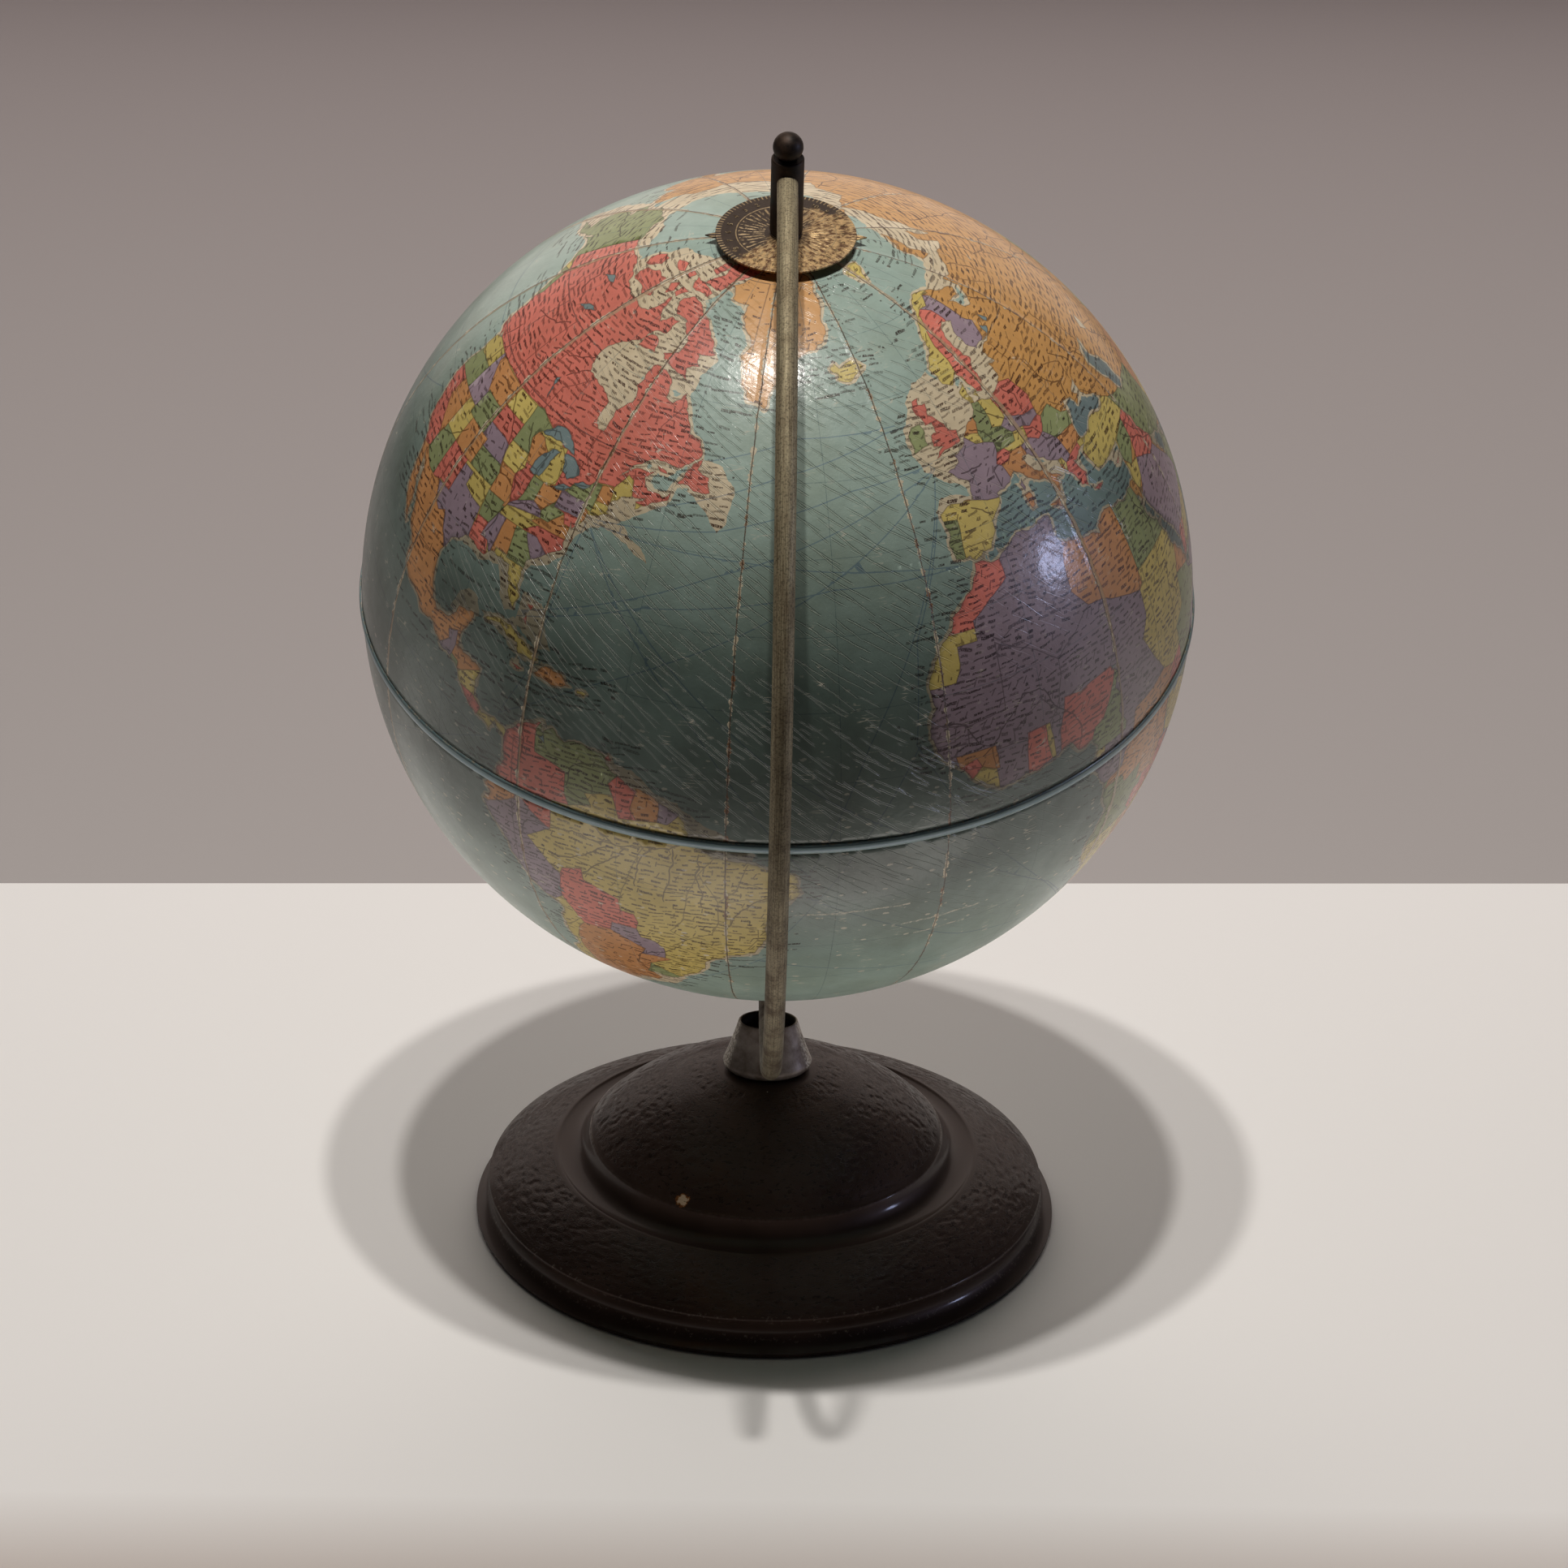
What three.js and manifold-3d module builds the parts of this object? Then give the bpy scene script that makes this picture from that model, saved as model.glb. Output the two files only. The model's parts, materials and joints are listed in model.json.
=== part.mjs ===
// A desktop globe on a pressed metal stand.
// Millimetres, +Z up. The origin is the centre of the stand's foot, on the surface it stands on.
// The arm and the globe's axis lie in the plane x = 0, and the axis leans towards -Y.

import * as THREE from 'three';
import { mergeVertices } from 'three/addons/utils/BufferGeometryUtils.js';
import Module from 'manifold-3d';

const wasm = await Module();
wasm.setup();

// ---------- driving dimensions ----------

const SEAT_GAP = 0.3; // between two pieces that rest on each other
const RUNNING_GAP = 0.15; // radial, between a pin and the bush it turns in
const AXIS_TILT = THREE.MathUtils.degToRad(12.3);

// Globe
const GLOBE_RADIUS = 152.4;
const GLOBE_WALL = 2.6;
const TAPE_HALF_WIDTH = 2.0;
const TAPE_THICKNESS = 0.8;
const JOINING_RING_HALF_HEIGHT = 12;
const JOINING_RING_THICKNESS = 3;
const BUSH_RADIUS = 4.6;
const BUSH_FLANGE_RADIUS = 11;
const BUSH_FLANGE_THICKNESS = 1.2;
const POLE_BLOCK_RADIUS = 22;
const POLE_BLOCK_THICKNESS = 12;

// Arm and pivots
const ROD_RADIUS = 3.7;
const ARM_CLEARANCE = 21.5; // from the globe's surface to the rod
const HUB_RADIUS = 5.8;
const HUB_RISE = 8; // hub beyond the rod's centre line
const HUB_CHAMFER = 0.8;
const FINIAL_RADIUS = 5.35;
const FINIAL_SEAT_DROP = 4.0; // finial's centre above its flat underside
const PIN_RADIUS = 3.0;

// Hour dial, counted outwards from the pole
const POINTER_THICKNESS = 0.5;
const POINTER_HALF_WIDTH = 3.2;
const POINTER_HUB_RADIUS = 9;
const POINTER_OVERHANG = 3.6; // tips beyond the dial's rim
const DIAL_RADIUS = 24.8;
const DIAL_THICKNESS = 0.8;
const SPRING_WASHER_RADIUS = 5.6;
const SPRING_WASHER_THICKNESS = 0.6;
const THRUST_WASHER_RADIUS = 8;
const THRUST_WASHER_THICKNESS = 0.8;

// Stand: foot, side band, embossed ring, cove and dome, from the outside in
const BASE_WALL = 1.0;
const FOOT_RADIUS = 111.5;
const FOOT_HEIGHT = 2.2;
const LIP_WIDTH = 7.5;
const BAND_INSET = 6.6;
const BAND_HEIGHT = 9.5;
const EDGE_INSET = 4.8;
const EDGE_HEIGHT = 14.1;
const RING_INNER_RADIUS = 80.7;
const RING_INNER_HEIGHT = 26.6;
const COVE_DEPTH = 2.2; // below the ring's inner edge, before rounding
const DOME_RADIUS = 68.1;
const DOME_EDGE_HEIGHT = 33.5;
const BASE_TOP_RADIUS = 17.5;
const BASE_TOP_HEIGHT = 61.8;

// Stand: under-cover and pad
const FELT_THICKNESS = 1.3;
const FELT_INSET = 1.5;
const BOARD_THICKNESS = 1.8;
const BOARD_EDGE_GAP = 0.6;

// Ferrule between the stand and the arm, oval in plan
const FERRULE_HEIGHT = 20.3;
const FERRULE_WALL = 1.1;
const FERRULE_FOOT_HALF_WIDTH = 17.0;
const FERRULE_FOOT_ROUNDING = 3.2;
const FERRULE_MOUTH_HALF_WIDTH = 11.4;
const FERRULE_FOOT_DEPTH_RATIO = 0.82;
const FERRULE_MOUTH_DEPTH_RATIO = 0.7;

// Screw that clamps arm, ferrule and stand together
const SCREW_RADIUS = 2.5;
const SCREW_GRIP = 4.5; // depth of the blind hole in the rod
const SCREW_HOLE_GAP = 0.3;
const SCREW_HEAD_HEIGHT = 4;
const SCREW_HEAD_ACROSS_FLATS = 10;
const SCREW_SPREADER_RADIUS = 15;
const SCREW_SPREADER_THICKNESS = 1.6;
const SCREW_WASHER_RADIUS = 6.5;
const SCREW_WASHER_THICKNESS = 1.2;

// Facets
const LARGE_SIDES = 48;
const MEDIUM_SIDES = 36;
const SMALL_SIDES = 24;
const OUTSIDE_STEPS = 14;
const INSIDE_STEPS = 9;
const ROD_SIDES = 12;
const ROD_STEPS = 60;

// ---------- derived sizes ----------

const ARM_RADIUS = GLOBE_RADIUS + ARM_CLEARANCE + ROD_RADIUS;
const FERRULE_BOTTOM = BASE_TOP_HEIGHT + SEAT_GAP;
const FERRULE_TOP = FERRULE_BOTTOM + FERRULE_HEIGHT;
const ROD_UNDERSIDE = FERRULE_TOP + SEAT_GAP;
const GLOBE_CENTRE_HEIGHT = ROD_UNDERSIDE + ROD_RADIUS + ARM_RADIUS;

const POINTER_BOTTOM = GLOBE_RADIUS + SEAT_GAP;
const DIAL_BOTTOM = POINTER_BOTTOM + POINTER_THICKNESS + SEAT_GAP;
const SPRING_WASHER_BOTTOM = DIAL_BOTTOM + DIAL_THICKNESS + SEAT_GAP;
const NORTH_HUB_BOTTOM = SPRING_WASHER_BOTTOM + SPRING_WASHER_THICKNESS + SEAT_GAP;
const THRUST_WASHER_BOTTOM = GLOBE_RADIUS + SEAT_GAP;
const SOUTH_HUB_BOTTOM = THRUST_WASHER_BOTTOM + THRUST_WASHER_THICKNESS + SEAT_GAP;
const HUB_TOP = ARM_RADIUS + HUB_RISE;
const FINIAL_SEAT = HUB_TOP + SEAT_GAP;
const PIN_HOLE_RADIUS = PIN_RADIUS + RUNNING_GAP;
const PIN_HUB_HOLE_RADIUS = PIN_RADIUS + SEAT_GAP;

const INNER_RADIUS = GLOBE_RADIUS - GLOBE_WALL;
const INSIDE_SAG = INNER_RADIUS * (1 - Math.cos(Math.PI / 4 / INSIDE_STEPS)); // flat facets below the true sphere
const SEAT_RADIUS = INNER_RADIUS - INSIDE_SAG - SEAT_GAP;
const POLE_HOLE_RADIUS = BUSH_RADIUS + SEAT_GAP;
const BUSH_FLANGE_TOP = sphereHeight(SEAT_RADIUS, BUSH_FLANGE_RADIUS);
const BLOCK_TOP = BUSH_FLANGE_TOP - BUSH_FLANGE_THICKNESS - SEAT_GAP;
const PIN_END = BLOCK_TOP - POLE_BLOCK_THICKNESS / 2;
const BUSH_END = BUSH_FLANGE_TOP - BUSH_FLANGE_THICKNESS;

const SCREW_HOLE_RADIUS = SCREW_RADIUS + SCREW_HOLE_GAP;
const SCREW_TIP = ROD_UNDERSIDE + SCREW_GRIP - SCREW_HOLE_GAP;
const SPREADER_TOP = BASE_TOP_HEIGHT - BASE_WALL - SEAT_GAP;
const WASHER_TOP = SPREADER_TOP - SCREW_SPREADER_THICKNESS - SEAT_GAP;
const LOCK_WASHER_TOP = WASHER_TOP - SCREW_WASHER_THICKNESS - SEAT_GAP;
const SCREW_HEAD_TOP = LOCK_WASHER_TOP - SCREW_WASHER_THICKNESS - SEAT_GAP;

// ---------- materials ----------

function finish(color, roughness, metalness) {
  return new THREE.MeshStandardMaterial({ color, roughness, metalness });
}

const darkEnamel = finish('#2b2421', 0.45, 0.3);
const agedBronze = finish('#6f6350', 0.42, 0.8);
const blackenedSteel = finish('#231c19', 0.4, 0.6);
const agedZinc = finish('#5a5350', 0.5, 0.6);
const etchedBrass = finish('#6b5542', 0.55, 0.6);
const springSteel = finish('#7c7a76', 0.4, 0.9);
const turnedBrass = finish('#a08a52', 0.4, 0.9);
const mapPaper = finish('#7fa39c', 0.35, 0);
const tapePaper = finish('#6d8f97', 0.4, 0);
const greyBoard = finish('#8d7f6b', 0.9, 0);
const pineWood = finish('#b8935f', 0.8, 0);
const greenFelt = finish('#3d4a3c', 0.95, 0);

// ---------- shape helpers ----------

function sphereHeight(radius, distanceFromAxis) {
  return Math.sqrt(radius * radius - distanceFromAxis * distanceFromAxis);
}

/** Triangles facing out, shared vertices merged, only positions kept. */
function closedSolid(geometry) {
  geometry.deleteAttribute('normal');
  geometry.deleteAttribute('uv');
  const merged = mergeVertices(geometry, 1e-4);
  const position = merged.getAttribute('position');
  const index = Array.from(merged.getIndex().array);
  const kept = [];
  let volume = 0;
  const [a, b, c] = [new THREE.Vector3(), new THREE.Vector3(), new THREE.Vector3()];
  for (let i = 0; i < index.length; i += 3) {
    const [ia, ib, ic] = index.slice(i, i + 3);
    if (ia === ib || ib === ic || ic === ia) continue;
    kept.push(ia, ib, ic);
    a.fromBufferAttribute(position, ia);
    b.fromBufferAttribute(position, ib);
    c.fromBufferAttribute(position, ic);
    volume += a.dot(b.cross(c));
  }
  if (volume < 0) kept.reverse();
  merged.setIndex(kept);
  return merged;
}

/** Revolves [radius, height] points about +Z. A profile off the axis closes on itself. */
function turned(profile, sides) {
  const points = profile.map(([radius, height]) => new THREE.Vector2(radius, height));
  const touchesAxis = points[0].x === 0 && points.at(-1).x === 0;
  if (!touchesAxis) points.push(points[0].clone());
  const lathe = new THREE.LatheGeometry(points, sides);
  return closedSolid(lathe.rotateX(Math.PI / 2));
}

function ring(innerRadius, outerRadius, bottom, top, sides = SMALL_SIDES) {
  const profile = [[innerRadius, bottom], [outerRadius, bottom], [outerRadius, top], [innerRadius, top]];
  return turned(profile, sides);
}

function disc(radius, bottom, top, sides = LARGE_SIDES) {
  return turned([[0, bottom], [radius, bottom], [radius, top], [0, top]], sides);
}

/** Points of an arc about the origin, by latitude in degrees. */
function arc(radius, fromLatitude, toLatitude, steps) {
  const points = [];
  for (let i = 0; i <= steps; i++) {
    const latitude = THREE.MathUtils.degToRad(fromLatitude + ((toLatitude - fromLatitude) * i) / steps);
    points.push([radius * Math.cos(latitude), radius * Math.sin(latitude)]);
  }
  return points;
}

/** Corners of a regular polygon, by the circle through them. */
function polygon(radius, sides) {
  const corners = [];
  for (let i = 0; i < sides; i++) {
    const angle = (i * 2 * Math.PI) / sides;
    corners.push(new THREE.Vector2(radius * Math.cos(angle), radius * Math.sin(angle)));
  }
  return corners;
}

function toManifold(geometry) {
  const vertProperties = new Float32Array(geometry.getAttribute('position').array);
  const triVerts = new Uint32Array(geometry.getIndex().array);
  return new wasm.Manifold(new wasm.Mesh({ numProp: 3, vertProperties, triVerts }));
}

function fromManifold(solid) {
  const mesh = solid.getMesh();
  const geometry = new THREE.BufferGeometry();
  geometry.setAttribute('position', new THREE.BufferAttribute(mesh.vertProperties, 3));
  geometry.setIndex(new THREE.BufferAttribute(mesh.triVerts, 1));
  return geometry;
}

function cut(geometry, ...tools) {
  const solid = tools.reduce((left, tool) => left.subtract(toManifold(tool)), toManifold(geometry));
  return closedSolid(fromManifold(solid));
}

/** The sheet's other face: each point moved inwards by the wall, square to the profile. */
function offsetProfile(points, wall) {
  return points.map((point, i) => {
    const before = new THREE.Vector2(...(points[i - 1] ?? point));
    const after = new THREE.Vector2(...(points[i + 1] ?? point));
    const here = new THREE.Vector2(...point);
    const arriving = here.clone().sub(before).normalize();
    const leaving = after.clone().sub(here).normalize();
    const along = arriving.clone().add(leaving).normalize();
    const reach = wall / Math.max(0.5, along.dot(i > 0 ? arriving : leaving));
    return [here.x - along.y * reach, here.y + along.x * reach];
  });
}

// ---------- stand ----------

/** Outer face of the pressed shell, from the foot up to the flat top. */
function baseProfile() {
  const bandRadius = FOOT_RADIUS - BAND_INSET;
  const edgeRadius = FOOT_RADIUS - EDGE_INSET;
  const foot = [
    [FOOT_RADIUS - 0.9, SEAT_GAP],
    [FOOT_RADIUS, SEAT_GAP + 0.9],
    [FOOT_RADIUS, FOOT_HEIGHT],
  ];
  const band = new THREE.CubicBezierCurve(
    new THREE.Vector2(FOOT_RADIUS, FOOT_HEIGHT),
    new THREE.Vector2(bandRadius, FOOT_HEIGHT + 2.2),
    new THREE.Vector2(bandRadius - 1.2, BAND_HEIGHT),
    new THREE.Vector2(edgeRadius, EDGE_HEIGHT - 0.9),
  );
  const annulus = new THREE.QuadraticBezierCurve(
    new THREE.Vector2(edgeRadius - 0.6, EDGE_HEIGHT + 0.5),
    new THREE.Vector2((edgeRadius + RING_INNER_RADIUS) / 2 + 1, (EDGE_HEIGHT + RING_INNER_HEIGHT) / 2 + 2.4),
    new THREE.Vector2(RING_INNER_RADIUS, RING_INNER_HEIGHT),
  );
  const cove = new THREE.QuadraticBezierCurve(
    new THREE.Vector2(RING_INNER_RADIUS - 1, RING_INNER_HEIGHT - 0.3),
    new THREE.Vector2(DOME_RADIUS + 2.5, RING_INNER_HEIGHT - COVE_DEPTH),
    new THREE.Vector2(DOME_RADIUS, DOME_EDGE_HEIGHT),
  );
  const dome = new THREE.QuadraticBezierCurve(
    new THREE.Vector2(DOME_RADIUS - 0.8, DOME_EDGE_HEIGHT + 1),
    new THREE.Vector2(DOME_RADIUS * 0.74, BASE_TOP_HEIGHT - 9),
    new THREE.Vector2(BASE_TOP_RADIUS, BASE_TOP_HEIGHT),
  );
  const curves = [[band, 4], [annulus, 3], [cove, 4], [dome, 6]];
  const points = curves.flatMap(([curve, steps]) => curve.getPoints(steps).map((p) => [p.x, p.y]));
  return [...foot, ...points.slice(1)];
}

function baseShell() {
  const lipEdge = [FOOT_RADIUS - LIP_WIDTH, SEAT_GAP];
  const holeEdge = [SCREW_HOLE_RADIUS, BASE_TOP_HEIGHT];
  const outside = [lipEdge, ...baseProfile(), holeEdge];
  const inside = offsetProfile(outside, BASE_WALL);
  return turned([...outside, ...inside.reverse()], LARGE_SIDES);
}

/** Radius of a profile that runs inwards as it rises, at one height above the foot. */
function radiusAt(profile, height) {
  const above = profile.findIndex(([, z]) => z >= height);
  const [r1, z1] = profile[above];
  const [r0, z0] = profile[above - 1];
  return r0 + ((r1 - r0) * (height - z0)) / (z1 - z0);
}

function feltPad() {
  return disc(FOOT_RADIUS - LIP_WIDTH - FELT_INSET, 0, FELT_THICKNESS);
}

function coverBoard() {
  const bottom = Math.max(FELT_THICKNESS, SEAT_GAP + BASE_WALL) + SEAT_GAP;
  const top = bottom + BOARD_THICKNESS;
  const insideWall = offsetProfile(baseProfile(), BASE_WALL);
  return disc(radiusAt(insideWall, top) - BOARD_EDGE_GAP, bottom, top);
}

/** A turned cone, narrowed front to back as it rises. */
function ferrule() {
  const foot = FERRULE_FOOT_HALF_WIDTH;
  const rounding = FERRULE_FOOT_ROUNDING;
  const corner = [];
  for (let i = 0; i <= 3; i++) {
    const turn = (i / 3) * (Math.PI / 2);
    corner.push([foot - rounding * (1 - Math.sin(turn)), rounding * (1 - Math.cos(turn))]);
  }
  const flank = new THREE.QuadraticBezierCurve(
    new THREE.Vector2(foot, rounding),
    new THREE.Vector2((foot + FERRULE_MOUTH_HALF_WIDTH) / 2 - 0.4, FERRULE_HEIGHT * 0.55),
    new THREE.Vector2(FERRULE_MOUTH_HALF_WIDTH, FERRULE_HEIGHT),
  );
  const side = flank.getPoints(3).slice(1).map((p) => [p.x, p.y]);
  const outside = [[foot - 2 * rounding, 0], ...corner, ...side];
  const inside = offsetProfile(outside, FERRULE_WALL);
  const solid = turned([...outside, ...inside.reverse()], MEDIUM_SIDES);
  const position = solid.getAttribute('position');
  for (let i = 0; i < position.count; i++) {
    const rise = position.getZ(i) / FERRULE_HEIGHT;
    const ratio = THREE.MathUtils.lerp(FERRULE_FOOT_DEPTH_RATIO, FERRULE_MOUTH_DEPTH_RATIO, rise);
    position.setY(i, position.getY(i) * ratio);
  }
  return solid.translate(0, 0, FERRULE_BOTTOM);
}

function clampScrew() {
  const hexagon = new THREE.Shape(polygon(SCREW_HEAD_ACROSS_FLATS / Math.sqrt(3), 6));
  const head = new THREE.ExtrudeGeometry(hexagon, {
    depth: SCREW_HEAD_HEIGHT,
    bevelEnabled: false,
  }).translate(0, 0, SCREW_HEAD_TOP - SCREW_HEAD_HEIGHT);
  const shank = disc(SCREW_RADIUS, SCREW_HEAD_TOP - SCREW_HEAD_HEIGHT / 2, SCREW_TIP, SMALL_SIDES);
  return joined(closedSolid(head), shank);
}

function joined(first, second) {
  return closedSolid(fromManifold(toManifold(first).add(toManifold(second))));
}

// ---------- arm and pivots, in the axis frame: +Z is north, the globe's centre is the origin ----------

/** From the north hub round the front of the globe to the south hub. */
class ArmCurve extends THREE.Curve {
  getPoint(t, target = new THREE.Vector3()) {
    const angle = t * Math.PI;
    return target.set(0, -ARM_RADIUS * Math.sin(angle), ARM_RADIUS * Math.cos(angle));
  }
}

function meridianArm() {
  const section = new THREE.Shape(polygon(ROD_RADIUS, ROD_SIDES));
  const rod = new THREE.ExtrudeGeometry(section, { steps: ROD_STEPS, extrudePath: new ArmCurve() });
  const reach = ARM_RADIUS + 2 * ROD_RADIUS;
  const hubSaddles = disc(HUB_RADIUS + SEAT_GAP, -reach, reach, SMALL_SIDES);
  const screwHole = disc(SCREW_HOLE_RADIUS, ROD_UNDERSIDE - ROD_RADIUS, ROD_UNDERSIDE + SCREW_GRIP, SMALL_SIDES)
    .translate(0, 0, -GLOBE_CENTRE_HEIGHT)
    .rotateX(-AXIS_TILT);
  return cut(closedSolid(rod), hubSaddles, screwHole);
}

function hub(bottom) {
  const inner = HUB_RADIUS - HUB_CHAMFER;
  return turned([
    [PIN_HUB_HOLE_RADIUS, bottom],
    [inner, bottom],
    [HUB_RADIUS, bottom + HUB_CHAMFER],
    [HUB_RADIUS, HUB_TOP - HUB_CHAMFER],
    [inner, HUB_TOP],
    [PIN_HUB_HOLE_RADIUS, HUB_TOP],
  ], SMALL_SIDES);
}

/** Pin with a ball finial, from inside the pole block out through the hub. */
function pivotPin() {
  const seatLatitude = -THREE.MathUtils.radToDeg(Math.asin(FINIAL_SEAT_DROP / FINIAL_RADIUS));
  const centre = FINIAL_SEAT + FINIAL_SEAT_DROP;
  const ball = arc(FINIAL_RADIUS, seatLatitude, 90, 7).map(([radius, height]) => [radius, centre + height]);
  ball.at(-1)[0] = 0;
  return turned([[0, PIN_END], [PIN_RADIUS, PIN_END], [PIN_RADIUS, FINIAL_SEAT], ...ball], SMALL_SIDES);
}

function hourPointer() {
  const tip = DIAL_RADIUS + POINTER_OVERHANG;
  const shoulder = DIAL_RADIUS - POINTER_OVERHANG;
  const blade = new THREE.Shape([
    new THREE.Vector2(-tip, 0),
    new THREE.Vector2(-shoulder, -POINTER_HALF_WIDTH),
    new THREE.Vector2(shoulder, -POINTER_HALF_WIDTH),
    new THREE.Vector2(tip, 0),
    new THREE.Vector2(shoulder, POINTER_HALF_WIDTH),
    new THREE.Vector2(-shoulder, POINTER_HALF_WIDTH),
  ]);
  const plate = new THREE.ExtrudeGeometry(blade, { depth: POINTER_THICKNESS, bevelEnabled: false });
  const top = POINTER_BOTTOM + POINTER_THICKNESS;
  const boss = disc(POINTER_HUB_RADIUS, POINTER_BOTTOM, top, SMALL_SIDES);
  const hole = disc(PIN_HUB_HOLE_RADIUS, POINTER_BOTTOM - 1, top + 1, SMALL_SIDES);
  return cut(joined(closedSolid(plate.translate(0, 0, POINTER_BOTTOM)), boss), hole);
}

// ---------- globe, in the axis frame ----------

function hemisphere() {
  const rim = SEAT_GAP / 2;
  const latitudeAt = (radius, height) => THREE.MathUtils.radToDeg(Math.asin(height / radius));
  const holeLatitude = (radius) => THREE.MathUtils.radToDeg(Math.acos(POLE_HOLE_RADIUS / radius));
  const outside = arc(GLOBE_RADIUS, latitudeAt(GLOBE_RADIUS, rim), holeLatitude(GLOBE_RADIUS), OUTSIDE_STEPS);
  const inside = arc(INNER_RADIUS, latitudeAt(INNER_RADIUS, rim), holeLatitude(INNER_RADIUS), INSIDE_STEPS);
  return turned([...outside, ...inside.reverse()], LARGE_SIDES);
}

function equatorTape() {
  const inner = GLOBE_RADIUS + SEAT_GAP;
  return ring(inner, inner + TAPE_THICKNESS, -TAPE_HALF_WIDTH, TAPE_HALF_WIDTH, LARGE_SIDES);
}

function joiningRing() {
  const outer = SEAT_RADIUS;
  const half = JOINING_RING_HALF_HEIGHT;
  const latitude = THREE.MathUtils.radToDeg(Math.asin(half / outer));
  const inner = outer - JOINING_RING_THICKNESS;
  return turned([...arc(outer, -latitude, latitude, 4), [inner, half], [inner, -half]], LARGE_SIDES);
}

function poleBush() {
  const top = GLOBE_RADIUS;
  return turned([
    [PIN_HOLE_RADIUS, BUSH_END],
    [BUSH_FLANGE_RADIUS, BUSH_END],
    [BUSH_FLANGE_RADIUS, BUSH_FLANGE_TOP],
    [BUSH_RADIUS, BUSH_FLANGE_TOP],
    [BUSH_RADIUS, top],
    [PIN_HOLE_RADIUS, top],
  ], SMALL_SIDES);
}

// ---------- assembly ----------

function add(parent, name, geometry, material) {
  const mesh = new THREE.Mesh(geometry, material);
  mesh.name = name;
  parent.add(mesh);
}

const deskGlobe = new THREE.Group();

const stand = new THREE.Group();
add(stand, 'base_shell', baseShell(), darkEnamel);
add(stand, 'base_cover_board', coverBoard(), greyBoard);
add(stand, 'felt_pad', feltPad(), greenFelt);
add(stand, 'ferrule', ferrule(), agedZinc);
add(stand, 'clamp_screw', clampScrew(), springSteel);
const spreaderBottom = SPREADER_TOP - SCREW_SPREADER_THICKNESS;
add(stand, 'spreader_plate', ring(SCREW_HOLE_RADIUS, SCREW_SPREADER_RADIUS, spreaderBottom, SPREADER_TOP), springSteel);
const washerBottom = WASHER_TOP - SCREW_WASHER_THICKNESS;
add(stand, 'screw_washer', ring(SCREW_HOLE_RADIUS, SCREW_WASHER_RADIUS, washerBottom, WASHER_TOP), springSteel);
const lockBottom = LOCK_WASHER_TOP - SCREW_WASHER_THICKNESS;
const lockRadius = SCREW_WASHER_RADIUS - 1.5;
add(stand, 'lock_washer', ring(SCREW_HOLE_RADIUS, lockRadius, lockBottom, LOCK_WASHER_TOP), springSteel);
deskGlobe.add(stand);

const northFrame = new THREE.Group();
northFrame.position.z = GLOBE_CENTRE_HEIGHT;
northFrame.rotation.x = AXIS_TILT;
deskGlobe.add(northFrame);
const southFrame = new THREE.Group();
southFrame.rotation.x = Math.PI;
northFrame.add(southFrame);

add(northFrame, 'meridian_arm', meridianArm(), agedBronze);
add(northFrame, 'north_hub', hub(NORTH_HUB_BOTTOM), blackenedSteel);
add(southFrame, 'south_hub', hub(SOUTH_HUB_BOTTOM), blackenedSteel);
add(northFrame, 'hour_pointer', hourPointer(), etchedBrass);
const dialTop = DIAL_BOTTOM + DIAL_THICKNESS;
add(northFrame, 'hour_dial', ring(PIN_HOLE_RADIUS, DIAL_RADIUS, DIAL_BOTTOM, dialTop, MEDIUM_SIDES), etchedBrass);
const springTop = SPRING_WASHER_BOTTOM + SPRING_WASHER_THICKNESS;
const springRing = ring(PIN_HUB_HOLE_RADIUS, SPRING_WASHER_RADIUS, SPRING_WASHER_BOTTOM, springTop);
add(northFrame, 'dial_spring_washer', springRing, springSteel);
const thrustTop = THRUST_WASHER_BOTTOM + THRUST_WASHER_THICKNESS;
const thrustRing = ring(PIN_HUB_HOLE_RADIUS, THRUST_WASHER_RADIUS, THRUST_WASHER_BOTTOM, thrustTop);
add(southFrame, 'south_thrust_washer', thrustRing, turnedBrass);
add(northFrame, 'equator_tape', equatorTape(), tapePaper);
add(northFrame, 'joining_ring', joiningRing(), greyBoard);

for (const [pole, frame] of [['north', northFrame], ['south', southFrame]]) {
  add(frame, `${pole}_pivot_pin`, pivotPin(), blackenedSteel);
  add(frame, `${pole}_hemisphere`, hemisphere(), mapPaper);
  add(frame, `${pole}_pole_bush`, poleBush(), turnedBrass);
  const blockBottom = BLOCK_TOP - POLE_BLOCK_THICKNESS;
  add(frame, `${pole}_pole_block`, ring(PIN_HOLE_RADIUS, POLE_BLOCK_RADIUS, blockBottom, BLOCK_TOP), pineWood);
}

export default deskGlobe;
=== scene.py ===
# %% [markdown]
# # A desktop globe on a pressed metal stand
# A table globe of twelve inches: printed paper over two board shells, a bent rod that carries
# both poles, an hour dial under the top pivot, a small open ferrule, and a stamped, dark
# enamelled stand. The frame gives every size and place. This lesson builds the surfaces that
# the eye sees around it, and mixes a finish for each of them.

# %% Load the frame
import json
import math
import random
from functools import partial, reduce

import bmesh
import bpy
import numpy as np
from mathutils import Matrix, Vector, kdtree, noise
from mathutils.geometry import delaunay_2d_cdt


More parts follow.
